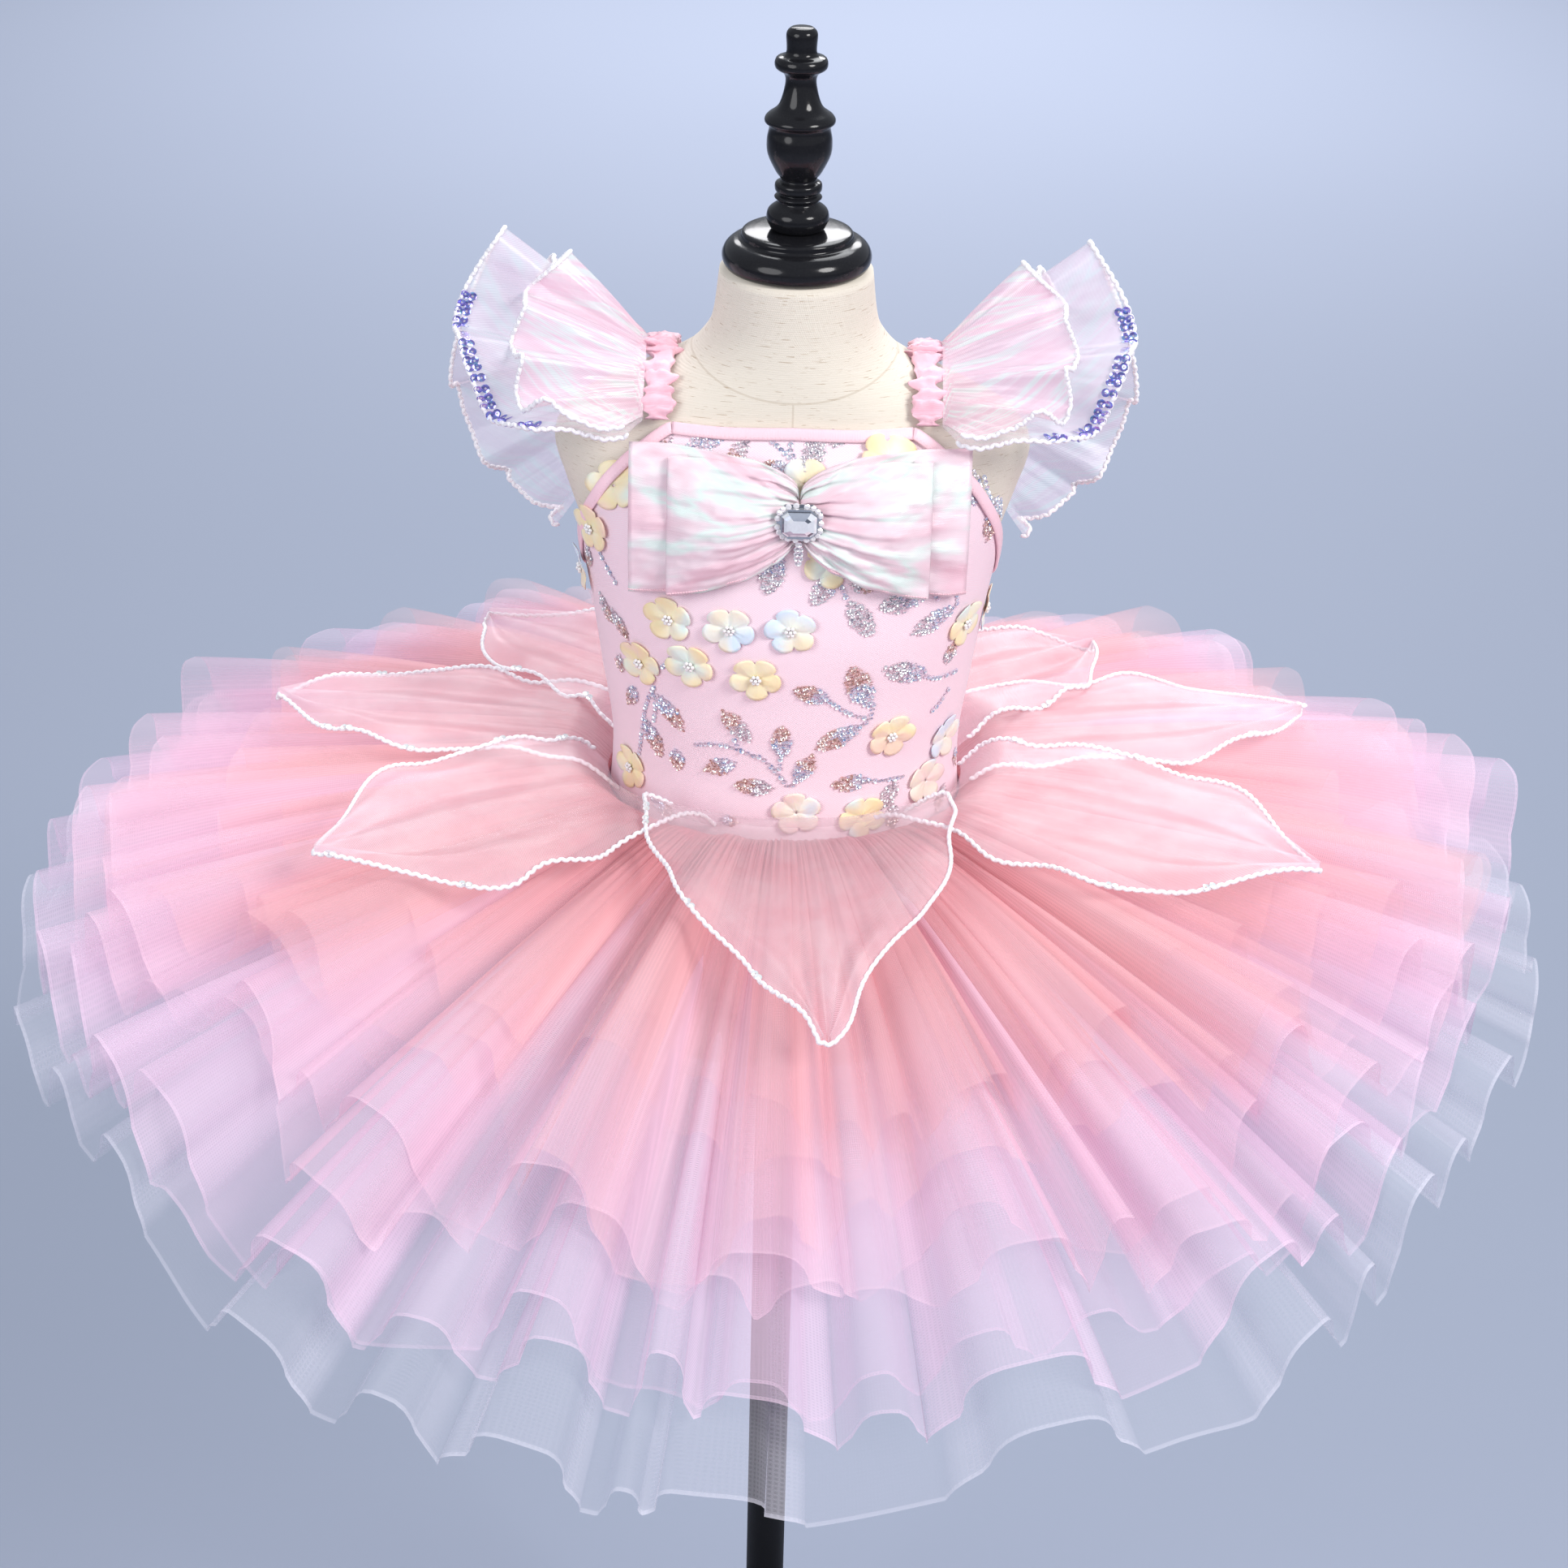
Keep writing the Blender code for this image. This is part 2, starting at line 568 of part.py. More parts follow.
def wing_rows(table, side, phase):
    """Rows of a ruffle from its root out, with its waves across the edge."""
    columns = []
    spans = (len(table) - 1) * WING_COLUMNS_PER_ROW
    for column in range(spans + 1):
        place = column / WING_COLUMNS_PER_ROW
        index = min(int(place), len(table) - 2)
        share = place - index
        root = Vector(table[index]["root"]).lerp(Vector(table[index + 1]["root"]), share)
        edge = Vector(table[index]["edge"]).lerp(Vector(table[index + 1]["edge"]), share)
        wave = min(1, place) * math.cos(2 * math.pi * (WING_WAVES * column / spans + phase))
        columns.append((root, edge, wave))
    rows = []
    for ring in WING_RINGS:
        row = []
        for index, (root, edge, wave) in enumerate(columns):
            ahead = columns[min(index + 1, spans)][1] - columns[max(index - 1, 0)][1]
            up = ahead.cross(edge - root).normalized()
            if up.z < 0:
                up.negate()
            point = root.lerp(edge, ring) + up * WING_WAVE_HEIGHT * ring ** 1.4 * wave
            row.append(Vector((side * point.x, point.y, WAIST_HEIGHT + point.z)))
        rows.append(row)
    return rows if side < 0 else [list(row) for row in reversed(rows)]


def make_wings():
    """Long sheer ruffles with short ones over them."""
    for name, side in (("left", 1), ("right", -1)):
        cloth("wing_long_" + name, wing_rows(WING_LONG, side, 0.5), ORGANZA, WING_CLOTH)
        cloth("wing_short_" + name, wing_rows(WING_SHORT, side, 0.25), ORGANZA, WING_CLOTH)


def bow_back(x, height):
    """How far in front of the axis the bow's back would lie with no clearance: it is flatter than the chest."""
    chest = max(section["depth"] for section in FORM_SECTIONS[5:])
    body = form_depth_at(abs(x), height)
    return max(body, BOW_FLATNESS * chest + (1 - BOW_FLATNESS) * body)


def bow_rows(side, loop):
    """Rows of one loop of the bow, from the knot out, pleated where it is gathered."""
    rows = []
    columns = 2 * BOW_PLEATS
    for share in BOW_STEPS:
        row = []
        flare = math.sin(0.5 * math.pi * share) ** BOW_FLARE_POWER
        tall = BOW_KNOT_HALF_HEIGHT + (loop["half_height"] - BOW_KNOT_HALF_HEIGHT) * flare
        x = BOW_CENTRE[0] + side * (SEAM_GAP + loop["length"] * share)
        middle = BOW_CENTRE[1] - BOW_END_DROP * share
        for column in range(columns + 1):
            up = 2 * column / columns - 1
            pleat = BOW_PLEAT_DEPTH * (1 if column % 2 else -1)
            puff = loop["puff"] * math.sin(math.pi * share) * (1 - up * up)
            off = loop["knot_off"] + (loop["stand_off"] - loop["knot_off"]) * min(share / BOW_STEPS[1], 1)
            clear = FORM_CLEARANCE + CLOTH + off
            depth = bow_back(x, middle + tall * up) + clear + pleat + puff
            row.append(Vector((x, -depth, WAIST_HEIGHT + middle + tall * up)))
        rows.append(row)
    return rows if side > 0 else [list(row) for row in reversed(rows)]


def make_bow():
    """The bow's four loops and the brooch on its middle."""
    for loop in BOW_LOOPS:
        cloth(loop["name"] + "_left", bow_rows(1, loop), ORGANZA)
        cloth(loop["name"] + "_right", bow_rows(-1, loop), ORGANZA)
    x, height = BOW_CENTRE
    stack = FORM_CLEARANCE + 2 * CLOTH + BOW_LOOPS[-1]["stand_off"] + BROOCH_GAP
    front = -(bow_back(x, height - SETTING_HALF_HEIGHT) + stack)
    brooch("brooch_setting", SETTING_HALF_WIDTH, SETTING_HALF_HEIGHT, front, SETTING_DEPTH, SILVER, 1.0)
    brooch("brooch_stone", STONE_HALF_WIDTH, STONE_HALF_HEIGHT, front - SETTING_DEPTH - SEAM_GAP, STONE_DEPTH, GLASS, 0.0)


def brooch(name, half_width, half_height, back, depth, colour, metallic):
    """A plate with cut corners that gets smaller towards its front."""
    corner = 0.4
    outline = ((1, 1 - corner), (1 - corner, 1), (corner - 1, 1), (-1, 1 - corner),
               (-1, corner - 1), (corner - 1, -1), (1 - corner, -1), (1, corner - 1))
    rows = []
    for share, size in ((0.0, 0.9), (0.35, 1.0), (1.0, 0.75)):
        row = []
        for across, up in outline:
            x = BOW_CENTRE[0] + half_width * across * size
            z = WAIST_HEIGHT + BOW_CENTRE[1] + half_height * up * size
            row.append(Vector((x, back - depth * share, z)))
        rows.append(row)
    finish(name, grid_mesh(name, rows, closed=True, capped=True), colour, 0.2, metallic, smooth=False)


def make_flowers():
    """Five-petalled flowers of cloth, lifted at their petals' tips."""
    for number, flower in enumerate(FLOWERS, 1):
        around = 15
        base = FORM_CLEARANCE + CLOTH + SEAM_GAP + flower["over"]
        rows = []
        for ring, lift in ((0.30, 0.0), (1.0, 0.0022)):
            row = []
            for step in range(around):
                turn = 2 * math.pi * step / around
                lobe = 1.0 if step % 3 else 0.62
                reach = FLOWER_RADIUS * (ring if ring < 1 else lobe)
                sideways = reach * math.cos(turn)
                radius = form_radius(flower["azimuth"], flower["height"])
                azimuth = flower["azimuth"] + math.degrees(sideways / radius)
                row.append(on_form(azimuth, flower["height"] + reach * math.sin(turn), base + lift))
            rows.append(row)
        lower = rows
        upper = [[point + out_of(flower) * FLOWER_THICKNESS for point in row] for row in rows]
        loft = [upper[0], upper[1], lower[1], lower[0]]
        name = "flower_%02d" % number
        finish(name, grid_mesh(name, loft[::-1], closed=True, capped=True), YELLOW_CLOTH)


def out_of(flower):
    """The direction in which a flower faces."""
    turn = math.radians(flower["azimuth"])
    return Vector((math.sin(turn), -math.cos(turn), 0))


COLLECTION = start_scene()
make_form()
make_bodice()
make_straps()
make_skirt()
make_petals()
make_wings()
make_bow()
make_flowers()
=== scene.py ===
"""Looks of a child's ballet dress on a limbless dress form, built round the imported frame.

Metres, +Z up, front is -Y, left and right are the wearer's. Heights in the tables are measured from the
natural waist. An azimuth is in degrees round the Z axis, 0 at the front and positive towards +X.
"""
import bisect
import math
import random
from functools import lru_cache

import bmesh
import bpy
from mathutils import Matrix, Vector, noise


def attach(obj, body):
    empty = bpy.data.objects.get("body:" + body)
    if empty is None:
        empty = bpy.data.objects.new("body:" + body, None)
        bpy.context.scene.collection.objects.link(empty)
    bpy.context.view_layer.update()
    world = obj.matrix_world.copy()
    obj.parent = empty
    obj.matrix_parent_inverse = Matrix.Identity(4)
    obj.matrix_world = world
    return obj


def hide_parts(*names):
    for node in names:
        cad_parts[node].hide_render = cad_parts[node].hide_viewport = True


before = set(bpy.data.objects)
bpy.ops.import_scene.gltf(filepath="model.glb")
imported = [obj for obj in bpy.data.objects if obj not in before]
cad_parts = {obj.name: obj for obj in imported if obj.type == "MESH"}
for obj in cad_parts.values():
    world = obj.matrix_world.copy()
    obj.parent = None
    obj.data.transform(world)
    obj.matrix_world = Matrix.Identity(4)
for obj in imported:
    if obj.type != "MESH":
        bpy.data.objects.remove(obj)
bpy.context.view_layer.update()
BODY = "root"


def records(columns, rows):
    """Rows of values as dictionaries, by the names of their columns."""
    return tuple(dict(zip(columns.split(), row)) for row in rows)


# Stand
WAIST_HEIGHT = 0.860
BASE_RADIUS = 0.150
BASE_THICKNESS = 0.014
COLLAR_RADIUS = 0.030
COLLAR_HEIGHT = 0.045
POLE_RADIUS = 0.0125
SEAT_GAP = 0.0003

# Horizontal sections of the form: height, half width, half depth, and the power of its rounded outline
FORM_SECTIONS = records("height width depth power", (
    (-0.170, 0.098, 0.078, 2.2),
    (-0.120, 0.104, 0.084, 2.2),
    (-0.060, 0.100, 0.078, 2.1),
    (-0.020, 0.095, 0.073, 2.0),
    (0.010, 0.0935, 0.072, 2.0),
    (0.060, 0.099, 0.076, 2.1),
    (0.110, 0.1055, 0.081, 2.3),
    (0.145, 0.112, 0.080, 2.4),
    (0.170, 0.120, 0.073, 2.4),
    (0.190, 0.1255, 0.062, 2.45),
    (0.203, 0.118, 0.056, 2.4),
    (0.215, 0.098, 0.051, 2.4),
    (0.227, 0.074, 0.047, 2.2),
    (0.240, 0.053, 0.043, 2.0),
    (0.255, 0.043, 0.040, 2.0),
    (0.281, 0.0395, 0.038, 2.0),
))

# Turned black wood above the neck, from the top down: radius and height above the neck's top
DISC_PROFILE = (
    (0.0215, 0.0205), (0.0280, 0.0195), (0.0290, 0.0160), (0.0335, 0.0145),
    (0.0370, 0.0115), (0.0385, 0.0070), (0.0368, 0.0020), (0.0330, 0.0003),
)
FINIAL_PROFILE = (
    (0.0055, 0.1225), (0.0078, 0.1195), (0.0078, 0.1100), (0.0125, 0.1075), (0.0130, 0.1030),
    (0.0085, 0.0995), (0.0080, 0.0940), (0.0110, 0.0840), (0.0168, 0.0790), (0.0178, 0.0760),
    (0.0155, 0.0735), (0.0165, 0.0670), (0.0160, 0.0595), (0.0120, 0.0510), (0.0090, 0.0465),
    (0.0118, 0.0445), (0.0118, 0.0410), (0.0100, 0.0395), (0.0122, 0.0375), (0.0105, 0.0350),
    (0.0150, 0.0310), (0.0160, 0.0265), (0.0145, 0.0225), (0.0130, 0.0208),
)

# Bodice
CLOTH = 0.0012
FORM_CLEARANCE = 0.0020
SEAM_GAP = 0.0003
BODICE_HEM = -0.052
BODICE_MESH_PITCH = 0.0017
BINDING_WIDTH = 0.0065
BINDING_THICKNESS = 0.0017
# The bodice's top edge: azimuth from the middle, height at the front and at the back
TOP_EDGE = records("azimuth front back", (
    (0, 0.2140, 0.1900),
    (18, 0.2135, 0.1900),
    (36, 0.2130, 0.1895),
    (52, 0.2130, 0.1890),
    (55, 0.2085, 0.1835),
    (58, 0.2000, 0.1770),
    (61, 0.1885, 0.1685),
    (64, 0.1760, 0.1600),
    (72, 0.1520, 0.1430),
    (81, 0.1300, 0.1270),
    (90, 0.1180, 0.1180),
))
STRAP_CORNER = 52

# Strap: its width, its sideways place, the number of its puffs, and the heights of its ends at the front
# and at the back
STRAP_WIDTH = 0.013
STRAP_X = 0.0690
STRAP_PUFFS = 19
STRAP_ENDS = (0.2140, 0.1905)
STRAP_HALF_DEPTH = 0.062

# Skirt: hem of the longest layer by azimuth, the same on both sides, and how much of their stand the upper
# layers keep over it
HEM = records("azimuth radius drop stand", (
    (0, 0.412, 0.168, 1.0),
    (28, 0.438, 0.130, 1.0),
    (58, 0.422, 0.088, 1.0),
    (90, 0.430, 0.095, 1.0),
    (135, 0.428, 0.130, 0.7),
    (180, 0.415, 0.175, 0.45),
))
SKIRT_CREST = -0.021
CREST_SHARE = 0.08
DROOP_POWER = 1.45
LAYER_STEP = 0.006
LIFT_POWER = 1.3
FLUTES = 22
FLUTE_SEED = 7
FLUTE_JITTER = 0.20
FLUTE_POWER = 1.15
FLUTE_POINTS = 40
SKIRT_RINGS = 28
TUBE_WALL = 0.65
# Layers from the lowest up: seam height, share of the longest length, lift over the net, fold height
SKIRT_LAYERS = records("name level seam length lift fold uneven side_reach", (
    ("skirt_net", 0, -0.044, 1.00, 0.000, 0.021, 0.02, 0.0),
    ("skirt_pale_pink", 1, -0.036, 0.96, 0.020, 0.027, 0.045, 0.0),
    ("skirt_lilac_pink", 2, -0.028, 0.84, 0.034, 0.030, 0.075, 0.05),
    ("skirt_coral", 3, -0.020, 0.68, 0.046, 0.031, 0.12, 0.14),
))
# Plies of each layer: share of the layer's length, how far they lie under it at the hem, and their own seed
PLIES = dict(
    skirt_net=(dict(length=1.0, under=0.0, seed=31),),
    skirt_pale_pink=(dict(length=1.0, under=0.0, seed=41), dict(length=0.93, under=0.008, seed=42)),
    skirt_lilac_pink=(dict(length=1.0, under=0.0, seed=51), dict(length=0.94, under=0.006, seed=52)),
    skirt_coral=(
        dict(length=1.0, under=0.0, seed=61), dict(length=0.92, under=0.005, seed=62),
        dict(length=0.80, under=0.010, seed=63),
    ),
)

# Organza petals over the skirt: azimuth, radius of the tip, half width, outline, level in the overlap
PETALS = records("name azimuth tip half outline level", (
    ("petal_front", 5, 0.270, 0.089, "pointed", 3),
    ("petal_right_front", -57, 0.284, 0.068, "full", 2),
    ("petal_right_side", -96, 0.292, 0.052, "full", 1),
    ("petal_right_back", -130, 0.240, 0.055, "full", 2),
    ("petal_back", 180, 0.250, 0.060, "full", 1),
    ("petal_left_back", 125, 0.225, 0.055, "full", 2),
    ("petal_left_side", 98, 0.300, 0.054, "full", 1),
    ("petal_left_front", 62, 0.312, 0.068, "full", 2),
))
PETAL_OUTLINE = records("along pointed full", (
    (0.00, 0.92, 0.80),
    (0.20, 1.00, 0.86),
    (0.42, 0.88, 0.96),
    (0.62, 0.66, 0.98),
    (0.74, 0.38, 0.80),
    (0.88, 0.19, 0.42),
    (1.00, 0.02, 0.02),
))
PETAL_CLEARANCE = 0.0035
PETAL_STEP = 0.0032
PETAL_SEQUIN_PAIRS = 4

# Wings, for the wearer's left side at +X: where a ruffle is sewn to the strap and the back armhole, and its
# outer edge
WING_LONG = records("root edge", (
    ((0.0762, -0.0480, 0.2146), (0.0840, -0.0640, 0.2120)),
    ((0.0764, -0.0386, 0.2237), (0.1345, -0.0640, 0.2130)),
    ((0.0764, -0.0268, 0.2302), (0.1650, -0.0450, 0.2350)),
    ((0.0764, -0.0100, 0.2346), (0.1720, -0.0180, 0.2620)),
    ((0.0764, 0.0020, 0.2374), (0.1540, 0.0080, 0.2900)),
    ((0.0764, 0.0150, 0.2335), (0.1720, 0.0300, 0.2500)),
    ((0.0764, 0.0325, 0.2262), (0.1850, 0.0500, 0.2060)),
    ((0.0768, 0.0540, 0.2060), (0.1820, 0.0680, 0.1640)),
    ((0.0990, 0.0580, 0.1695), (0.1560, 0.0700, 0.1300)),
    ((0.1125, 0.0380, 0.1435), (0.1250, 0.0520, 0.1150)),
))
WING_SHORT = records("root edge", (
    ((0.0762, -0.0496, 0.2170), (0.0860, -0.0700, 0.2190)),
    ((0.0764, -0.0398, 0.2262), (0.1310, -0.0680, 0.2290)),
    ((0.0764, -0.0275, 0.2329), (0.1400, -0.0460, 0.2480)),
    ((0.0768, -0.0100, 0.2376), (0.1380, -0.0200, 0.2680)),
    ((0.0768, 0.0020, 0.2406), (0.1200, 0.0040, 0.2820)),
    ((0.0764, 0.0155, 0.2365), (0.1350, 0.0280, 0.2640)),
    ((0.0764, 0.0335, 0.2291), (0.1400, 0.0500, 0.2350)),
))
WING_WAVES = 6
WING_WAVE_HEIGHT = 0.009
# Sequins on the long ruffle's edge: the shares of the edge where they start and end, and their pitch
WING_SEQUINS_FROM = 0.10
WING_SEQUINS_TO = 0.36
WING_SEQUIN_PITCH = 0.0042

# Bow: sideways place and height of its middle, and its two pairs of loops, outer ones behind
BOW_CENTRE = (0.0045, 0.178)
BOW_END_DROP = 0.010
BOW_KNOT_HALF_HEIGHT = 0.0095
BOW_LOOPS = records("name length half_height knot_off stand_off puff", (
    ("bow_outer", 0.0870, 0.0385, 0.0014, 0.0014, 0.0),
    ("bow_inner", 0.0660, 0.0345, 0.0036, 0.0060, 0.0080),
))
# Where an inner loop folds back at its end: share of the way out and how far behind the loop's front
BOW_TURN = ((1.012, 0.0006), (1.016, 0.0016), (1.008, 0.0025), (0.97, 0.0030), (0.86, 0.0032))
BOW_FLATNESS = 0.3
BOW_KNOT_SHARE = 0.12
BOW_FLARE_POWER = 0.55
SETTING_HALF_WIDTH = 0.0115
SETTING_HALF_HEIGHT = 0.0100
SETTING_DEPTH = 0.0030
STONE_HALF_WIDTH = 0.0088
STONE_HALF_HEIGHT = 0.0066
STONE_DEPTH = 0.0036
BROOCH_GAP = 0.0017
RING_STONES = 19
DROP_SEQUINS = 5

# The linen's ring seam: height at the front, and how much it rises to the sides. The seams' half width.
NECK_RING = 0.225
NECK_RING_DIP = 5.0
SEAM_HALF_WIDTH = 0.0005

# Applique flowers: place, how far they stand over the bodice where they lie on a binding, and their cloth
FLOWER_RADIUS = 0.0130
FLOWER_PETALS = 5
BEADS_AROUND = 6
BEAD_RING_RADIUS = 0.0021
FLOWERS = records("azimuth height over cloth", (
    (40, 0.2010, 0.0022, "yellow"),
    (-65, 0.1540, 0.0008, "yellow"),
    (-79, 0.1190, 0.0022, "blue"),
    (-40, 0.1150, 0.0, "yellow"),
    (-20, 0.1140, 0.0, "blue"),
    (1, 0.1150, 0.0, "blue"),
    (-53, 0.0815, 0.0, "yellow"),
    (-34, 0.0890, 0.0, "yellow"),
    (-11, 0.0855, 0.0, "yellow"),
    (41, 0.0445, 0.0, "yellow"),
    (-66, 0.0060, 0.0, "yellow"),
    (84, 0.0960, 0.0, "blue"),
    (63, 0.1040, 0.0, "yellow"),
    (-105, 0.0600, 0.0, "yellow"),
    (150, 0.0900, 0.0, "blue"),
    (-155, 0.0500, 0.0, "yellow"),
))

# Flowers half under the bow and the petals: place in the 1932 x 1932 frame, and cloth
TUCKED_FLOWERS = (
    (1061, 1006, "yellow"), (981, 1001, "blush"), (1022, 694, "yellow"), (992, 596, "blue"),
    (757, 598, "yellow"), (1139, 961, "blush"), (1163, 907, "blush"),
)

# Camera: distance from the waist, tilt, lens, and the waist's place in the 1932 x 1932 frame
IMAGE_SIZE = 1932
CAMERA_DISTANCE = 1.5
CAMERA_TILT = math.radians(29)
CAMERA_ROLL = math.radians(1.4)
SENSOR = 36.0
PIXELS_PER_METRE = 2185.0
WAIST_PIXEL = (967.0, 920.0)

CURVES = {}


def curve_of(table, key, column):
    """Places, values and slopes of a table's column, worked out once."""
    found = CURVES.get((id(table), column))
    if found is None:
        places = [row[key] for row in table]
        values = [row[column] for row in table]
        rises = [(b - a) / (q - p) for p, q, a, b in zip(places, places[1:], values, values[1:])]
        inner = [0.0 if a * b <= 0 else 2 * a * b / (a + b) for a, b in zip(rises, rises[1:])]
        found = CURVES[(id(table), column)] = (places, values, [rises[0], *inner, rises[-1]])
    return found


def smooth(table, key, column, value):
    """The column's value at a place along the table, on a smooth curve that doesn't overshoot its rows."""
    places, values, slopes = curve_of(table, key, column)
    if value <= places[0]:
        return values[0]
    if value >= places[-1]:
        return values[-1]
    row = bisect.bisect_right(places, value) - 1
    width = places[row + 1] - places[row]
    t = (value - places[row]) / width
    low = (1 + 2 * t) * (1 - t) ** 2 * values[row] + t * (1 - t) ** 2 * width * slopes[row]
    return low + t * t * (3 - 2 * t) * values[row + 1] + t * t * (t - 1) * width * slopes[row + 1]


def eased(table, key, column, value):
    """The column's value at a place along the table, level at each row."""
    for low, high in zip(table, table[1:]):
        if value <= high[key]:
            share = (value - low[key]) / (high[key] - low[key])
            share = 0.5 - 0.5 * math.cos(math.pi * share)
            return low[column] + (high[column] - low[column]) * share
    return table[-1][column]


def ramped(value, low, high):
    """0 below low to 1 above high, smooth at both."""
    share = min(max((value - low) / (high - low), 0.0), 1.0)
    return share * share * (3 - 2 * share)


def spline(points, place):
    """A point on the smooth curve through a list of points, at a place counted in points."""
    index = min(int(place), len(points) - 2)
    t = place - index
    a, b = points[max(index - 1, 0)], points[index]
    c, d = points[index + 1], points[min(index + 2, len(points) - 1)]
    return b + 0.5 * t * ((c - a) + t * ((2 * a - 5 * b + 4 * c - d) + t * (3 * (b - c) + d - a)))


def polar(radius, azimuth, height):
    """A point round the form's axis, its height taken from the waist."""
    turn = math.radians(azimuth)
    return Vector((radius * math.sin(turn), -radius * math.cos(turn), WAIST_HEIGHT + height))


def folded(azimuth):
    """The azimuth as 0 at the front to 180 at the back, on either side."""
    return abs((azimuth + 180.0) % 360.0 - 180.0)


@lru_cache(maxsize=None)
def form_section(height):
    """Half width, half depth and power of the form's outline at a height."""
    return tuple(smooth(FORM_SECTIONS, "height", key, height) for key in ("width", "depth", "power"))


def form_radius(azimuth, height):
    """Radius of the form's outline at a height."""
    width, depth, power = form_section(round(height, 6))
    turn = math.radians(azimuth)
    across = abs(math.sin(turn)) / width
    along = abs(math.cos(turn)) / depth
    return (across ** power + along ** power) ** (-1.0 / power)


def on_form(azimuth, height, out=0.0):
    """A point on the form, moved out from it."""
    return polar(form_radius(azimuth, height) + out, azimuth, height)


def facing_out(azimuth, height):
    """The direction in which the form's surface faces."""
    step = 0.002
    turn = math.degrees(step / form_radius(azimuth, height))
    across = on_form(azimuth + turn, height) - on_form(azimuth - turn, height)
    up = on_form(azimuth, height + step) - on_form(azimuth, height - step)
    return across.cross(up).normalized()


def top_edge(azimuth):
    """Height of the bodice's top edge."""
    place = folded(azimuth)
    if place <= 90:
        return smooth(TOP_EDGE, "azimuth", "front", place)
    return smooth(TOP_EDGE, "azimuth", "back", 180 - place)


def camera_axes():
    """The camera's place and its right, up and backward directions before it rolls."""
    back = Vector((0, -math.cos(CAMERA_TILT), math.sin(CAMERA_TILT)))
    right = Vector((1, 0, 0))
    up = back.cross(right)
    place = Vector((0, 0, WAIST_HEIGHT)) + back * CAMERA_DISTANCE
    return place, right, up, back


def seen_through(x, y):
    """The direction in which the camera looks through a pixel of the 1932 x 1932 frame."""
    _, right, up, back = camera_axes()
    side = (x - WAIST_PIXEL[0]) / PIXELS_PER_METRE / CAMERA_DISTANCE
    rise = (WAIST_PIXEL[1] - y) / PIXELS_PER_METRE / CAMERA_DISTANCE
    across = side * math.cos(CAMERA_ROLL) - rise * math.sin(CAMERA_ROLL)
    above = rise * math.cos(CAMERA_ROLL) + side * math.sin(CAMERA_ROLL)
    return (right * across + up * above - back).normalized()


def on_bodice_at(x, y):
    """Azimuth and height of the bodice where the camera sees it through a pixel."""
    place = camera_axes()[0]
    ray = seen_through(x, y)
    far = CAMERA_DISTANCE - 0.25
    for _ in range(400):
        point = place + ray * far
        azimuth = math.degrees(math.atan2(point.x, -point.y))
        height = point.z - WAIST_HEIGHT
        left = math.hypot(point.x, point.y) - form_radius(azimuth, height) - FORM_CLEARANCE - CLOTH
        if left < 0.0002:
            break
        far += max(left * 0.5, 0.0001)
    return azimuth, height


def bare_mesh(name, build):
    """The mesh of a finished bmesh, with smooth faces."""
    for face in build.faces:
        face.smooth = True
    mesh = bpy.data.meshes.new(name)
    build.to_mesh(mesh)
    build.free()
    return mesh


def grid_mesh(name, rows, flat=None, closed=False, capped=False, dense=None):
    """A mesh of quads over rows of points.

    A closed one joins its last column to its first, and a capped one is shut at its first and last row.
    flat holds each point's place on the flat cloth, with one more in a row for a closed mesh. dense holds
    how closely the cloth lies at each point.
    """
    build = bmesh.new()
    layer = build.verts.layers.float.new("dense") if dense else None
    verts = [[build.verts.new(point) for point in row] for row in rows]
    if dense:
        for line, values in zip(verts, dense):
            for vert, value in zip(line, values):
                vert[layer] = value
    columns = len(rows[0])
    cloth_map = build.loops.layers.uv.new("cloth") if flat else None
    for level in range(len(rows) - 1):
        for column in range(columns if closed else columns - 1):
            after = (column + 1) % columns
            lower, upper = verts[level], verts[level + 1]
            face = build.faces.new((lower[column], lower[after], upper[after], upper[column]))
            if flat:
                places = (flat[level][column], flat[level][column + 1],
                          flat[level + 1][column + 1], flat[level + 1][column])
                for loop, place in zip(face.loops, places):
                    loop[cloth_map].uv = place
    if capped:
        build.faces.new(list(reversed(verts[0])))
        build.faces.new(verts[-1])
    return bare_mesh(name, build)


def flat_map(rows, closed=False):
    """Each point's place on the flat cloth, in metres, measured along the rows and columns."""
    places = []
    rises = [0.0]
    middle = len(rows[0]) // 2
    for lower, upper in zip(rows, rows[1:]):
        rises.append(rises[-1] + (upper[middle] - lower[middle]).length)
    for row, rise in zip(rows, rises):
        ring = [*row, row[0]] if closed else row
        line = [0.0]
        for here, after in zip(ring, ring[1:]):
            line.append(line[-1] + (after - here).length)
        centre = line[middle]
        places.append([(run - centre, rise) for run in line])
    return places


def new_object(name, data):
    """A new object in the scene."""
    obj = bpy.data.objects.new(name, data)
    bpy.context.scene.collection.objects.link(obj)
    return obj


def put(name, mesh, finish, slot, *nodes):
    """Link a finished mesh as a piece that rides on the body, and hide the imported nodes that it stands
    for.
    """
    obj = new_object(name, mesh)
    if finish:
        mesh.materials.clear()
        mesh.materials.append(finish)
    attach(obj, BODY)
    if nodes:
        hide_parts(*nodes)


def thick(mesh, thickness, offset=0.0):
    """The mesh with a wall of some thickness."""
    obj = new_object("wall", mesh)
    wall = obj.modifiers.new("wall", "SOLIDIFY")
    wall.thickness = thickness
    wall.offset = offset
    return applied(obj)


def applied(obj):
    """The plain mesh that an object's modifiers make. The object is removed."""
    graph = bpy.context.evaluated_depsgraph_get()
    mesh = bpy.data.meshes.new_from_object(obj.evaluated_get(graph))
    bpy.data.objects.remove(obj)
    return mesh


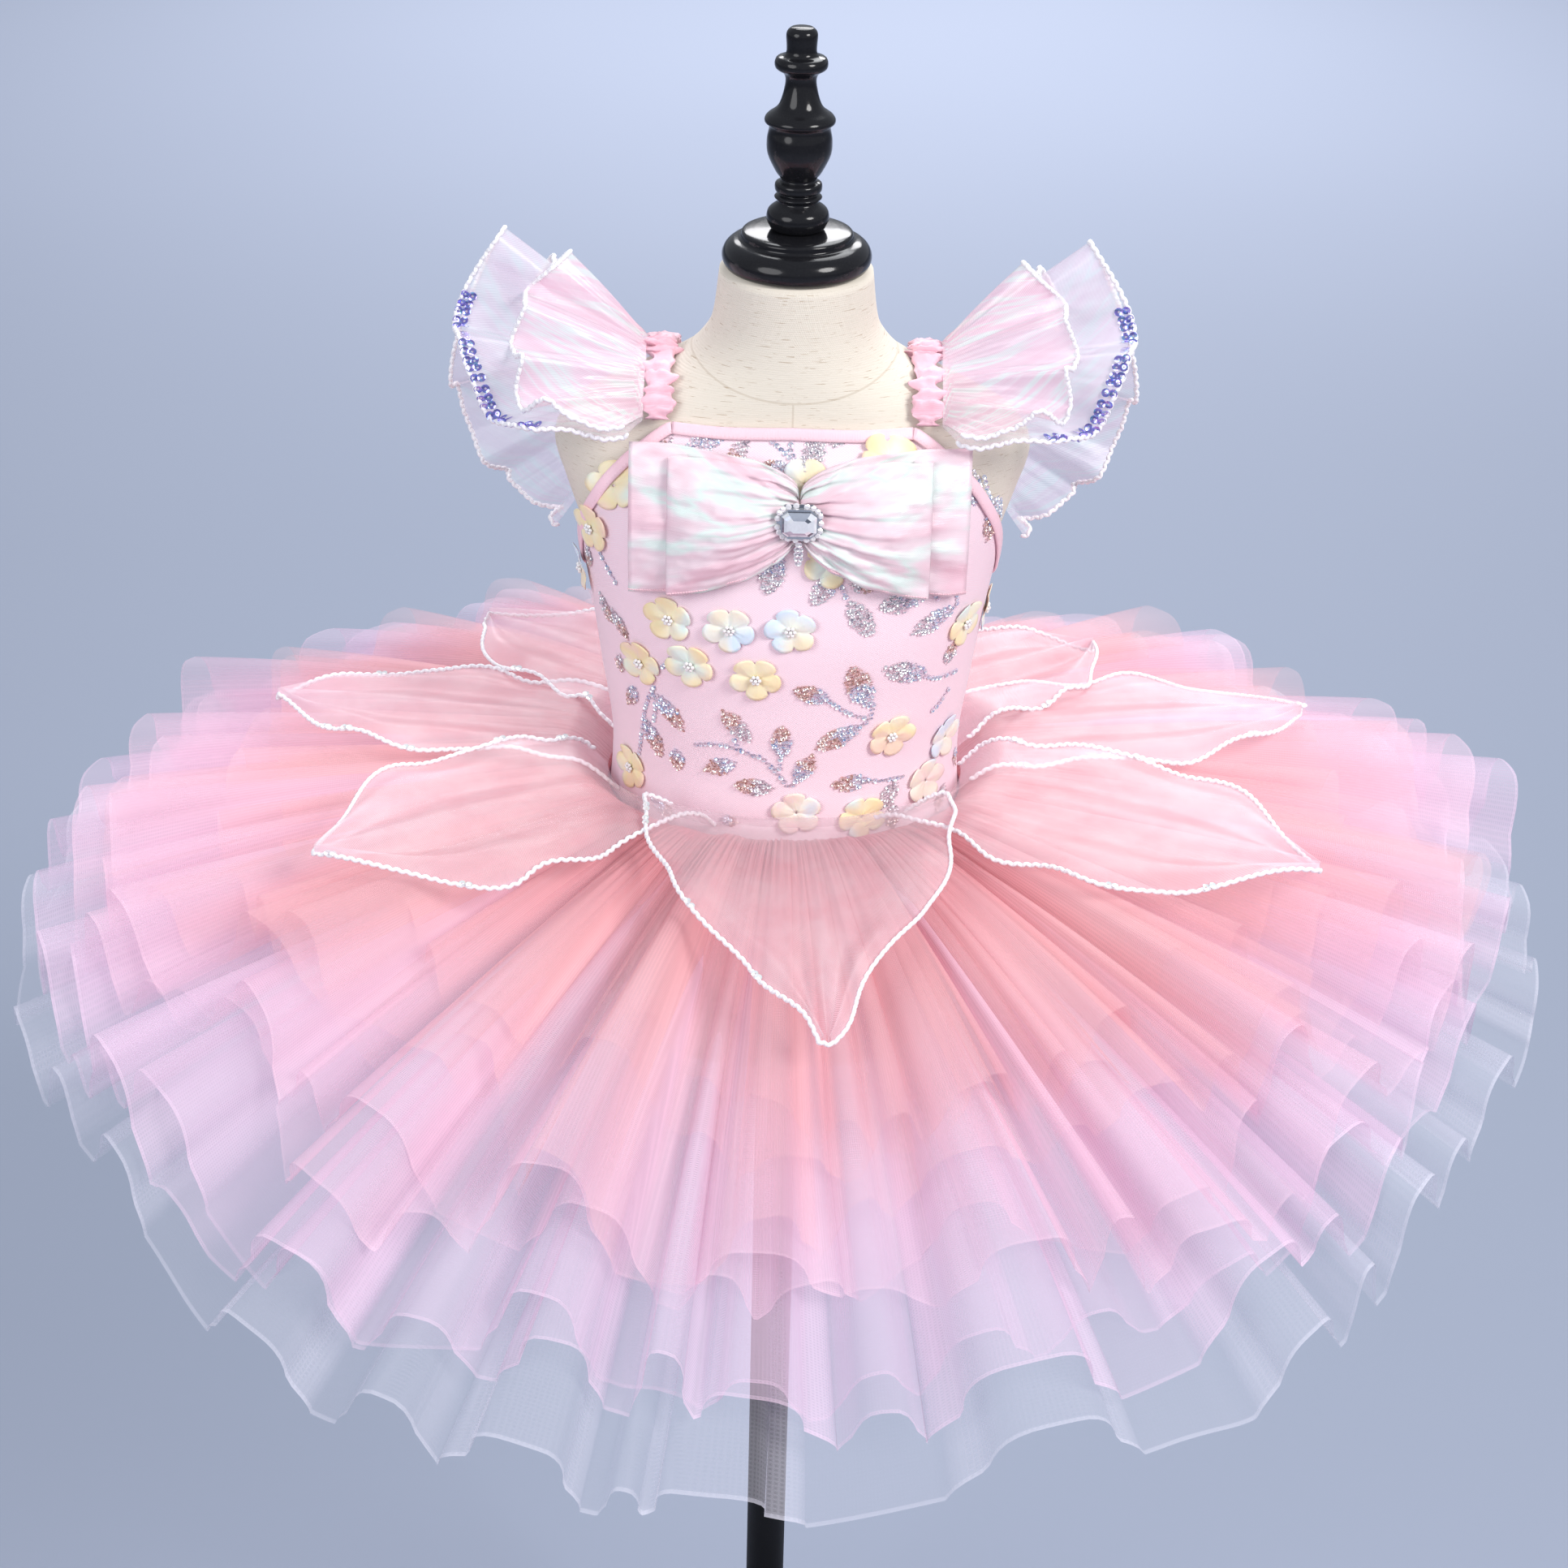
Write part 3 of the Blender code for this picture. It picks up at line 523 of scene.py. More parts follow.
def named(sockets, name):
    """The socket of that name that the node's present setting uses."""
    return next(socket for socket in sockets if socket.enabled and socket.name == name)


def geometry_tree(name, sizes):
    """A Geometry Nodes tree with a geometry input and output, and named inputs of a kind and default."""
    tree = bpy.data.node_groups.new(name, "GeometryNodeTree")
    tree.interface.new_socket("Geometry", in_out="INPUT", socket_type="NodeSocketGeometry")
    for label, kind, default in sizes:
        entry = tree.interface.new_socket(label, in_out="INPUT", socket_type=kind)
        if default is not None:
            entry.default_value = default
    tree.interface.new_socket("Geometry", in_out="OUTPUT", socket_type="NodeSocketGeometry")
    return tree, tree.nodes.new("NodeGroupInput"), tree.nodes.new("NodeGroupOutput")


def tree_node(tree, kind, links=None, **settings):
    """A node with its settings, and its inputs linked to sockets or set to values."""
    node = tree.nodes.new(kind)
    for key, value in settings.items():
        setattr(node, key, value)
    for label, source in (links or {}).items():
        entry = named(node.inputs, label)
        if isinstance(source, bpy.types.NodeSocket):
            tree.links.new(source, entry)
        else:
            entry.default_value = source
    return node


def worked(tree, operation, *values, clamp=False):
    """The result of a Math node on sockets or numbers."""
    node = tree.nodes.new("ShaderNodeMath")
    node.operation = operation
    node.use_clamp = clamp
    for entry, value in zip(node.inputs, values):
        if isinstance(value, bpy.types.NodeSocket):
            tree.links.new(value, entry)
        else:
            entry.default_value = value
    return node.outputs["Value"]


def point_value(tree, name):
    """The value of a point's named vector."""
    node = tree_node(tree, "GeometryNodeInputNamedAttribute", {"Name": name}, data_type="FLOAT_VECTOR")
    return named(node.outputs, "Attribute")


def leaned(tree, rotation, angle):
    """The rotation, leaned by an angle about its own X axis."""
    lean = tree_node(tree, "FunctionNodeAxisAngleToRotation", {"Axis": (1, 0, 0), "Angle": angle})
    links = {"Rotation": rotation, "Rotate By": lean.outputs["Rotation"]}
    final = tree_node(tree, "FunctionNodeRotateRotation", links, rotation_space="LOCAL")
    return final.outputs["Rotation"]


def end_tree(tree, points, rotation, inputs, output):
    """Copy the shape to each point, make the copies real, give them their material and send them out."""
    shape = tree_node(tree, "GeometryNodeObjectInfo", {
        "Object": inputs.outputs["Shape"], "As Instance": True})
    placed = tree_node(tree, "GeometryNodeInstanceOnPoints", {
        "Points": points, "Instance": shape.outputs["Geometry"], "Rotation": rotation,
        "Scale": inputs.outputs["Size"]})
    real = tree_node(tree, "GeometryNodeRealizeInstances", {"Geometry": placed.outputs["Instances"]})
    dressed = tree_node(tree, "GeometryNodeSetMaterial", {
        "Geometry": real.outputs["Geometry"], "Material": inputs.outputs["Material"]})
    tree.links.new(dressed.outputs["Geometry"], output.inputs["Geometry"])


def scatter_tree():
    """Copies of a shape on points, each facing and turned as its point says."""
    tree, inputs, output = geometry_tree("scatter", (
        ("Shape", "NodeSocketObject", None), ("Size", "NodeSocketFloat", 1.0),
        ("Tilt", "NodeSocketFloat", 0.0), ("Seed", "NodeSocketInt", 1),
        ("Material", "NodeSocketMaterial", None)))
    up = tree_node(tree, "FunctionNodeAlignRotationToVector", {
        "Vector": point_value(tree, "facing")}, axis="Z")
    turned = tree_node(tree, "FunctionNodeAlignRotationToVector", {
        "Rotation": up.outputs["Rotation"], "Vector": point_value(tree, "along")}, axis="X", pivot_axis="Z")
    tilt = tree_node(tree, "FunctionNodeRandomValue", {
        "Min": worked(tree, "MULTIPLY", inputs.outputs["Tilt"], -1.0), "Max": inputs.outputs["Tilt"],
        "Seed": inputs.outputs["Seed"]}, data_type="FLOAT")
    rotation = leaned(tree, turned.outputs["Rotation"], named(tilt.outputs, "Value"))
    end_tree(tree, inputs.outputs["Geometry"], rotation, inputs, output)
    return tree


def stitch_tree():
    """Stitches one after another along a path, each leaning to the other side than the one before it."""
    tree, inputs, output = geometry_tree("stitching", (
        ("Shape", "NodeSocketObject", None), ("Pitch", "NodeSocketFloat", 0.002),
        ("Size", "NodeSocketFloat", 1.0), ("Lean", "NodeSocketFloat", 0.4),
        ("Material", "NodeSocketMaterial", None)))
    path = tree_node(tree, "GeometryNodeMeshToCurve", {"Mesh": inputs.outputs["Geometry"]})
    spots = tree_node(tree, "GeometryNodeCurveToPoints", {
        "Curve": path.outputs["Curve"], "Length": inputs.outputs["Pitch"]}, mode="LENGTH")
    count = tree_node(tree, "GeometryNodeInputIndex")
    parity = worked(tree, "MODULO", count.outputs["Index"], 2.0)
    side = worked(tree, "MULTIPLY_ADD", parity, 2.0, -1.0)
    angle = worked(tree, "MULTIPLY", side, inputs.outputs["Lean"])
    rotation = leaned(tree, spots.outputs["Rotation"], angle)
    end_tree(tree, spots.outputs["Points"], rotation, inputs, output)
    return tree


def grown(carrier, tree, values):
    """The plain mesh that a tree grows from a mesh of points or paths, with the tree's named inputs set."""
    obj = new_object("carrier", carrier)
    modifier = obj.modifiers.new("grown", "NODES")
    modifier.node_group = tree
    for entry in tree.interface.items_tree:
        if entry.in_out == "INPUT" and entry.name in values:
            modifier[entry.identifier] = values[entry.name]
    return applied(obj)


def path_mesh(paths):
    """A mesh of edges along each of some lists of points."""
    build = bmesh.new()
    for points in paths:
        verts = [build.verts.new(point) for point in points]
        for here, after in zip(verts, verts[1:]):
            build.edges.new((here, after))
    return bare_mesh("path", build)


def spots_mesh(spots):
    """A mesh of points that know where they face and which way they run."""
    build = bmesh.new()
    facing = build.verts.layers.float_vector.new("facing")
    along = build.verts.layers.float_vector.new("along")
    for spot in spots:
        vert = build.verts.new(spot["place"])
        vert[facing] = spot["facing"]
        vert[along] = spot["along"]
    return bare_mesh("spots", build)


def sewn(name, paths, slot, **values):
    """Stitches along paths, as one piece."""
    values["Shape"] = STITCH
    put(name, grown(path_mesh(paths), STITCHING, values), None, slot)


def scattered(name, spots, slot, **values):
    """Copies of a small shape on spots, as one piece."""
    put(name, grown(spots_mesh(spots), SCATTER, values), None, slot)


def circle(radius, height, steps):
    """Points round the Z axis, all at one height."""
    turns = [2 * math.pi * step / steps for step in range(steps)]
    return [Vector((radius * math.cos(turn), radius * math.sin(turn), height)) for turn in turns]


def sequin_shape():
    """A cupped disc of unit radius with a hole in its middle, its face up."""
    rows = [circle(radius, height, 10) for radius, height in ((1.0, 0.16), (0.72, 0.02), (0.26, 0.0))]
    return new_object("sequin_shape", grid_mesh("sequin_shape", rows, closed=True))


def bead_shape(name, steps, rings, stretch=1.0):
    """A bead of unit radius, stretched along its Z axis."""
    turns = [math.pi * ring / rings for ring in range(1, rings)]
    rows = [circle(math.sin(turn), -math.cos(turn) * stretch, steps) for turn in turns]
    return new_object(name, grid_mesh(name, rows, closed=True, capped=True))


def gem_shape():
    """A round cut stone in its cup: a flat table, slanting facets and a girdle."""
    profile = ((0.80, 0.0), (1.0, 0.30), (1.0, 0.42), (0.62, 0.82))
    rows = [circle(radius, height, 8) for radius, height in profile]
    mesh = grid_mesh("gem_shape", rows, closed=True, capped=True)
    mesh.shade_flat()
    return new_object("gem_shape", mesh)


def lathe(name, profile, lift, finish, slot, steps=64, rounded=True):
    """A solid turned from a profile of radius and height, top to bottom, with its bends rounded."""
    points = [Vector((radius, 0, height)) for radius, height in profile]
    per_point = 6 if rounded else 1
    fine = [spline(points, step / per_point) for step in range((len(points) - 1) * per_point + 1)]
    rows = [circle(point.x, lift + point.z, steps) for point in reversed(fine)]
    put(name, grid_mesh(name, rows, closed=True, capped=True), finish, slot, name)


def make_stand():
    """The pole, its collar and the round base."""
    plate = (
        (BASE_RADIUS - 0.012, BASE_THICKNESS), (BASE_RADIUS - 0.005, BASE_THICKNESS - 0.0005),
        (BASE_RADIUS, BASE_THICKNESS - 0.004), (BASE_RADIUS, 0.001), (BASE_RADIUS - 0.001, 0.0))
    lathe("base_plate", plate, 0.0, SATIN_BLACK, "black_metal", steps=96)
    foot = BASE_THICKNESS + SEAT_GAP
    collar = (
        (POLE_RADIUS + 0.0035, COLLAR_HEIGHT), (POLE_RADIUS + 0.004, COLLAR_HEIGHT - 0.002),
        (COLLAR_RADIUS * 0.58, 0.014), (COLLAR_RADIUS * 0.72, 0.008),
        (COLLAR_RADIUS, 0.0035), (COLLAR_RADIUS, 0))
    lathe("base_collar", collar, foot, SATIN_BLACK, "black_metal")
    pole_foot = foot + COLLAR_HEIGHT + SEAT_GAP
    top = WAIST_HEIGHT + FORM_SECTIONS[0]["height"] - SEAT_GAP - pole_foot
    lathe("pole", ((POLE_RADIUS, top), (POLE_RADIUS, 0)), pole_foot, SATIN_BLACK, "black_metal", 40, False)


def make_form():
    """The linen torso and the turned black wood on its neck."""
    rows = []
    low, high = FORM_SECTIONS[0]["height"], FORM_SECTIONS[-1]["height"]
    levels = 110
    columns = 144
    foot_roll = ((0.86, 0.0), (0.955, 0.002), (0.99, 0.006))
    for share, rise in foot_roll:
        rows.append([polar(form_radius(360 * c / columns, low) * share, 360 * c / columns, low + rise)
                     for c in range(columns)])
    for level in range(1, levels + 1):
        height = low + 0.012 + (high - low - 0.012) * level / levels
        rows.append([on_form(360 * c / columns, height) for c in range(columns)])
    torso = grid_mesh("form_torso", rows, flat_map(rows, closed=True), closed=True, capped=True)
    put("form_torso", torso, LINEN, "linen", "form_torso")
    neck_top = WAIST_HEIGHT + high
    lathe("neck_disc", DISC_PROFILE, neck_top, GLOSS_BLACK, "black_wood", steps=96)
    lathe("finial", FINIAL_PROFILE, neck_top, GLOSS_BLACK, "black_wood", steps=72)


def bodice_point(azimuth, share, out):
    """A point of the bodice, a share of the way from its hem to its top edge, with its slight creases."""
    height = BODICE_HEM + (top_edge(azimuth) - BODICE_HEM) * share
    place = on_form(azimuth, height, out)
    crease = noise.noise(Vector((azimuth * 0.035, height * 46.0, 1.7)))
    crease *= ramped(height, -0.03, 0.0) * ramped(-height, -0.16, -0.03)
    side = ramped(folded(azimuth), 35, 85) * ramped(-folded(azimuth), -150, -95) * 0.6 + 0.25
    return place + facing_out(azimuth, height) * (0.0005 * crease * side)


def make_bodice():
    """Front and back, joined at the side seams, with the bound top edges."""
    levels = 54
    seam = math.degrees(0.5 * SEAM_GAP / 0.095)
    for name, middle in (("bodice_front", 0), ("bodice_back", 180)):
        steps = 90
        turns = [middle - 90 + seam + (180 - 2 * seam) * step / steps for step in range(steps + 1)]
        rows = []
        for level in range(levels + 1):
            rows.append([bodice_point(turn, level / levels, FORM_CLEARANCE) for turn in turns])
        mesh = thick(grid_mesh(name, rows, flat_map(rows)), CLOTH, 1.0)
        put(name, mesh, BODICE_CLOTH, "bodice_cloth", name)


def band(paths, half_width, half_thick, steps=10):
    """Rows round a flat band: paths holds its middle, its sideways direction and the way it faces."""
    rows = []
    for middle, side, face in paths:
        row = []
        for step in range(steps):
            turn = 2 * math.pi * step / steps
            across = math.copysign(abs(math.cos(turn)) ** 0.55, math.cos(turn))
            out = math.copysign(abs(math.sin(turn)) ** 0.8, math.sin(turn))
            row.append(middle + side * half_width * across + face * half_thick * out)
        rows.append(row)
    return rows


def binding_path(turns):
    """The middle of a binding along the top edge, with its sideways and facing directions."""
    path = []
    out = FORM_CLEARANCE + CLOTH + 0.5 * BINDING_THICKNESS + 0.0001
    for turn in turns:
        height = top_edge(turn) - 0.5 * BINDING_WIDTH
        face = facing_out(turn, height)
        place = on_form(turn, height) + face * out
        step = 0.6
        ahead = on_form(turn + step, top_edge(turn + step)) - on_form(turn - step, top_edge(turn - step))
        path.append((place, face.cross(ahead).normalized(), face))
    return path


def make_bindings():
    """Folded elastic round the neck and the armholes, sewn down with a row of stitches."""
    corner = STRAP_CORNER
    gap = math.degrees(SEAM_GAP / 0.080)
    edges = (
        ("neck_binding_front", -corner, corner), ("neck_binding_back", 180 - corner, 180 + corner),
        ("armhole_binding_left", corner + gap, 180 - corner - gap),
        ("armhole_binding_right", corner - 180 + gap, -corner - gap),
    )
    stitches = []
    for name, first, last in edges:
        steps = 96
        path = binding_path([first + (last - first) * step / steps for step in range(steps + 1)])
        rows = band(path, 0.5 * BINDING_WIDTH, 0.5 * BINDING_THICKNESS)
        rows = [list(reversed(row)) for row in rows]
        mesh = grid_mesh(name, rows, flat_map(rows, closed=True), closed=True, capped=True)
        put(name, mesh, BINDING, "binding", name)
        stitches.append([place + face * 0.45 * BINDING_THICKNESS - side * 0.25 * BINDING_WIDTH
                         for place, side, face in path])
    sewn("binding_stitches", stitches, "binding", Pitch=0.0021, Size=0.00022, Lean=0.0,
         Material=PINK_THREAD)


def form_depth_at(x, height):
    """How far in front of the axis the form's surface lies at a sideways place."""
    width, depth, power = form_section(round(height, 6))
    if x >= width:
        return 0.0
    return depth * (1 - (x / width) ** power) ** (1 / power)


def strap_path():
    """Points along the middle of a strap's underside, from the front over the shoulder to the back."""
    inner = STRAP_X - 0.5 * STRAP_WIDTH
    crest = next(h / 1e4 for h in range(1950, 2800) if form_section(h / 1e4)[0] < inner)
    clear = FORM_CLEARANCE + CLOTH + 2 * SEAM_GAP
    path = []
    steps = 10
    for step in range(steps + 1):
        turn = math.pi * step / steps
        end = STRAP_ENDS[0] if step <= steps / 2 else STRAP_ENDS[1]
        height = end + (crest + clear - end) * math.sin(turn) ** 0.8
        depth = form_depth_at(inner, min(height, crest)) + 0.0035
        side = 1 if math.cos(turn) > 0 else -1
        y = -side * min(depth, abs(STRAP_HALF_DEPTH * math.cos(turn)) + 0.001)
        path.append(Vector((STRAP_X, y, WAIST_HEIGHT + height + 0.001)))
    return path


def make_straps():
    """Organza gathered over elastic into small puffs, over each shoulder."""
    path = strap_path()
    steps = 240
    for name, sign in (("strap_left", 1), ("strap_right", -1)):
        picks = random.Random(90 + sign)
        puff_phase = [picks.uniform(-0.25, 0.25) for _ in range(STRAP_PUFFS + 2)]
        rows = []
        for step in range(steps + 1):
            place = (len(path) - 1) * step / steps
            point = spline(path, place)
            ahead = spline(path, min(place + 0.1, len(path) - 1)) - spline(path, max(place - 0.1, 0))
            ahead.normalize()
            face = Vector((1, 0, 0)).cross(ahead)
            if face.dot(point - Vector((STRAP_X, 0, WAIST_HEIGHT + 0.15))) < 0:
                face.negate()
            run = STRAP_PUFFS * step / steps
            puff = abs(math.sin(math.pi * (run + puff_phase[int(run)] * math.sin(math.pi * (run % 1)))))
            row = []
            around = 20
            for spot in range(around):
                turn = 2 * math.pi * spot / around
                frill = noise.noise(Vector((run * 1.3, math.cos(turn), 8.0 + sign)))
                frill = 1 + 0.9 * frill * abs(math.cos(turn))
                across = math.cos(turn) * (0.0064 + 0.0016 * puff) * frill
                out = (math.sin(turn) + 1) * (0.0014 + 0.0011 * puff)
                spot_in_noise = Vector((run * 1.6, math.cos(turn) * 2.2, 4.0 + sign + math.sin(turn)))
                ripple = 0.0020 * noise.noise(spot_in_noise)
                spread = Vector((across, 0, -0.0007)) + face * (0.0003 + out + ripple)
                row.append(Vector((sign * (point.x + spread.x), point.y + spread.y, point.z + spread.z)))
            rows.append(row if sign > 0 else list(reversed(row)))
        mesh = grid_mesh(name, rows, flat_map(rows, closed=True), closed=True, capped=True)
        put(name, mesh, RUCHED, "ruched_strap", name)


def flute_grid(layer):
    """Where each fold of a layer starts, in degrees, and how high it stands, once round and one more."""
    shared = random.Random(FLUTE_SEED)
    own = random.Random(FLUTE_SEED + 10 + layer["level"])
    pitch = 360.0 / FLUTES
    grid = []
    for fold in range(FLUTES):
        shift = shared.uniform(-FLUTE_JITTER, FLUTE_JITTER) + own.uniform(-0.05, 0.05)
        start = (fold + shift) * pitch
        grid.append(dict(start=start, height=shared.uniform(0.75, 1.15), reach=own.uniform(-1, 1)))
    grid.append(dict(grid[0], start=grid[0]["start"] + 360.0))
    return grid


def hem_of(azimuth):
    """Radius and drop of the longest layer's hem."""
    place = folded(azimuth)
    return eased(HEM, "azimuth", "radius", place), eased(HEM, "azimuth", "drop", place)


def skirt_height(layer, azimuth, run, wave):
    """Height of a layer where it has come a share of the longest length, on a fold of that wave."""
    crest = SKIRT_CREST + layer["level"] * LAYER_STEP
    if run < CREST_SHARE:
        share = run / CREST_SHARE
        height = layer["seam"] + (crest - layer["seam"]) * math.sin(0.5 * math.pi * share)
    else:
        drop = hem_of(azimuth)[1] + SKIRT_CREST
        height = crest - drop * ((run - CREST_SHARE) / (1 - CREST_SHARE)) ** DROOP_POWER
    lift = layer["lift"] * eased(HEM, "azimuth", "stand", folded(azimuth)) * run ** LIFT_POWER
    return height + lift + layer["fold"] * run ** FLUTE_POWER * wave


def seam_radius(azimuth, height):
    """Radius where a skirt layer meets the bodice."""
    return form_radius(azimuth, height) + FORM_CLEARANCE + 2 * CLOTH + SEAM_GAP


def ply_folds(layer, ply):
    """The tubes that a ply of tulle stands in: one to each fold of its layer, and a smaller one between."""
    picks = random.Random(ply["seed"])
    folds = []
    for here in flute_grid(layer):
        folds.append(dict(
            start=here["start"] + picks.uniform(-3.2, 3.2),
            height=here["height"] * picks.uniform(0.6, 1.15),
            reach=0.6 * here["reach"] + picks.uniform(-0.8, 0.8), width=picks.uniform(0.22, 0.36),
            between=picks.uniform(0.40, 0.60), small=max(0.0, picks.uniform(-0.5, 0.9)),
            small_width=picks.uniform(0.12, 0.22), curl=picks.uniform(0.15, 0.27),
            sway=picks.uniform(-1, 1)))
    folds[-1] = dict(folds[0], start=folds[0]["start"] + 360.0)
    return folds


def tube(phase, centre, width):
    """How high a tube stands at a phase, from 0 to 1, how far its walls lean out, in widths, and how steep
    they are."""
    off = (phase - centre) / width
    far = abs(off)
    if far >= 1:
        return 0.0, 0.0, 0.0
    if far < TUBE_WALL:
        lean = math.sin(math.pi * far / TUBE_WALL)
    else:
        lean = -0.6 * math.sin(math.pi * (far - TUBE_WALL) / (1 - TUBE_WALL))
    height = 1 - 0.35 * far ** 2 - 0.65 * ramped(far, 0.12, 1.0)
    return height, math.copysign(lean, off), max(0.0, 1 - ((far - TUBE_WALL) / 0.32) ** 2)


def ply_columns(layer, ply):
    """Azimuth, wave, overhang in degrees, reach and sway of each column of a ply, once round."""
    columns = []
    folds = ply_folds(layer, ply)
    for here, after in zip(folds, folds[1:]):
        pitch = after["start"] - here["start"]
        for step in range(FLUTE_POINTS):
            phase = step / FLUTE_POINTS
            first, lean_first, steep_first = tube(phase, 0.0, here["width"])
            second, lean_second, steep_second = tube(phase, here["between"], here["small_width"])
            third, lean_third, steep_third = tube(phase, 1.0, after["width"])
            height = here["height"] * first + here["small"] * second + after["height"] * third
            lean = (here["curl"] * here["width"] * lean_first
                    + here["curl"] * here["small"] * here["small_width"] * lean_second
                    + after["curl"] * after["width"] * lean_third)
            share = ramped(phase, 0, 1)
            steep = steep_first + here["small"] * steep_second + steep_third
            columns.append(dict(
                azimuth=here["start"] + phase * pitch, wave=2 * height - 1, lean=lean * pitch,
                dense=0.32 + 0.40 * min(height, 1) + 0.60 * min(steep, 1),
                reach=here["reach"] + (after["reach"] - here["reach"]) * share,
                sway=here["sway"] + (after["sway"] - here["sway"]) * share))
    return columns


def broad_reach(azimuth, seed):
    """How much longer or shorter a ply hangs over a broad stretch, from about -0.5 to 0.5."""
    place = polar(1.7, azimuth, seed)
    return noise.noise(Vector((place.x, place.y, seed)))


def ply_rows(layer, ply):
    """Rows of a ply from its seam to its hem, and their places on the flat cloth."""
    columns = ply_columns(layer, ply)
    gathers = 9
    rows, flat, dense = [], [], []
    for ring in range(SKIRT_RINGS + 1):
        share = (ring / SKIRT_RINGS) ** 1.25
        row, places, values = [], [], []
        for index, column in enumerate(columns):
            run = share * layer["length"] * ply["length"] * (1 + layer["uneven"] * column["reach"] * share)
            azimuth = column["azimuth"] + (column["lean"] + 1.1 * column["sway"] * share) * run ** 1.1
            run *= 1 + layer["side_reach"] * math.sin(math.radians(azimuth)) ** 2
            run *= 1 + 1.6 * layer["uneven"] * share * broad_reach(azimuth, ply["seed"])
            start = seam_radius(azimuth, layer["seam"])
            radius = start + (hem_of(azimuth)[0] - start) * run
            height = skirt_height(layer, azimuth, run, column["wave"]) - ply["under"] * run
            pinch = math.cos(2 * math.pi * gathers * index / FLUTE_POINTS + 3 * column["sway"])
            height += 0.0016 * pinch * math.exp(-((run - 0.1) / 0.14) ** 2)
            row.append(polar(radius, azimuth, height))
            places.append((math.radians(column["azimuth"]) * hem_of(azimuth)[0], (1 - share) * 0.36))
            values.append(0.6 + (column["dense"] - 0.6) * min(1, 2.2 * run))
        places.append((places[0][0] + 2 * math.pi * 0.42, places[0][1]))
        rows.append(row)
        flat.append(places)
        dense.append(values)
    for lines in (rows, flat, dense):
        lines.reverse()
    return rows, flat, dense


def joined(name, meshes):
    """One mesh of several."""
    build = bmesh.new()
    for mesh in meshes:
        build.from_mesh(mesh)
    return bare_mesh(name, build)


def make_skirt():
    """The fluted plies of tulle, each layer's in one piece."""
    finishes = dict(
        skirt_net=(WHITE_NET, "white_net"), skirt_pale_pink=(PALE_TULLE, "pale_pink_tulle"),
        skirt_lilac_pink=(LILAC_TULLE, "lilac_pink_tulle"), skirt_coral=(CORAL_TULLE, "coral_tulle"))
    for layer in SKIRT_LAYERS:
        meshes = []
        for ply in PLIES[layer["name"]]:
            rows, flat, dense = ply_rows(layer, ply)
            meshes.append(grid_mesh(layer["name"], rows, flat, closed=True, dense=dense))
        finish, slot = finishes[layer["name"]]
        put(layer["name"], joined(layer["name"], meshes), finish, slot, layer["name"])


def petal_point(petal, along, across, wobble):
    """A point of a petal: along from the seam to the tip, across from -1 to 1. Its edges are rippled."""
    coral = SKIRT_LAYERS[-1]
    start = seam_radius(petal["azimuth"], coral["seam"])
    radius = start + (petal["tip"] - start) * along
    half = petal["half"] * smooth(PETAL_OUTLINE, "along", petal["outline"], along)
    edge = abs(across) ** 3 * ramped(along, 0.05, 0.3)
    half += 0.0022 * edge * math.sin(27 * along + wobble + across)
    azimuth = petal["azimuth"] + math.degrees(half * across / max(radius, 0.105))
    base = seam_radius(azimuth, coral["seam"])
    if along < 0.3:
        radius = radius + (base - start) * (1 - along / 0.3)
    run = (radius - base) / (hem_of(azimuth)[0] - base)
    lift = PETAL_CLEARANCE + petal["level"] * PETAL_STEP
    height = skirt_height(coral, azimuth, max(run, 0), 1.0) + lift
    height += 0.003 * along * math.cos(3 * math.pi * across)
    height += 0.0032 * edge * math.sin(17 * along + 2.1 * wobble + 1.5 * across)
    soft = Vector((3.1 * along + wobble, 2.4 * across, 0.5))
    return polar(radius, azimuth, height + 0.0016 * noise.noise(soft) * along)


def make_petals():
    """Organza petals with a corded edge and a few sequins on it."""
    sequins = []
    for number, petal in enumerate(PETALS):
        wobble = 1.7 * number
        alongs, acrosses = 44, 36
        rows = []
        for level in range(alongs + 1):
            along = 1 - (1 - level / alongs) ** 1.15
            places = [2 * column / acrosses - 1 for column in range(acrosses + 1)]
            rows.append([petal_point(petal, along, across, wobble) for across in places])
        edge = [row[0] for row in rows] + [row[-1] for row in reversed(rows)]
        rows.reverse()
        name = petal["name"]
        put(name, grid_mesh(name, rows, flat_map(rows)), PETAL_ORGANZA, "petal_organza", name)
        edge = [point + Vector((0, 0, 0.0006)) for point in edge if (point - edge[0]).length > 0.012]
        sewn(name + "_cord", [edge], "petal_organza", **CORD)
        picks = random.Random(200 + number)
        for _ in range(PETAL_SEQUIN_PAIRS):
            at = picks.randrange(4, len(edge) - 4)
            for twin in (-1, 1):
                place = edge[at] + (edge[at + 1] - edge[at]).normalized() * 0.0017 * twin
                sequins.append(dict(
                    place=place + Vector((0, 0, 0.0012)), facing=Vector((0.1 * twin, -0.3, 1)),
                    along=edge[at + 1] - edge[at]))
    scattered("petal_sequins", sequins, "petal_organza", Shape=SEQUIN, Size=0.0019, Tilt=0.2, Seed=5,
              Material=PEARL_SEQUIN)


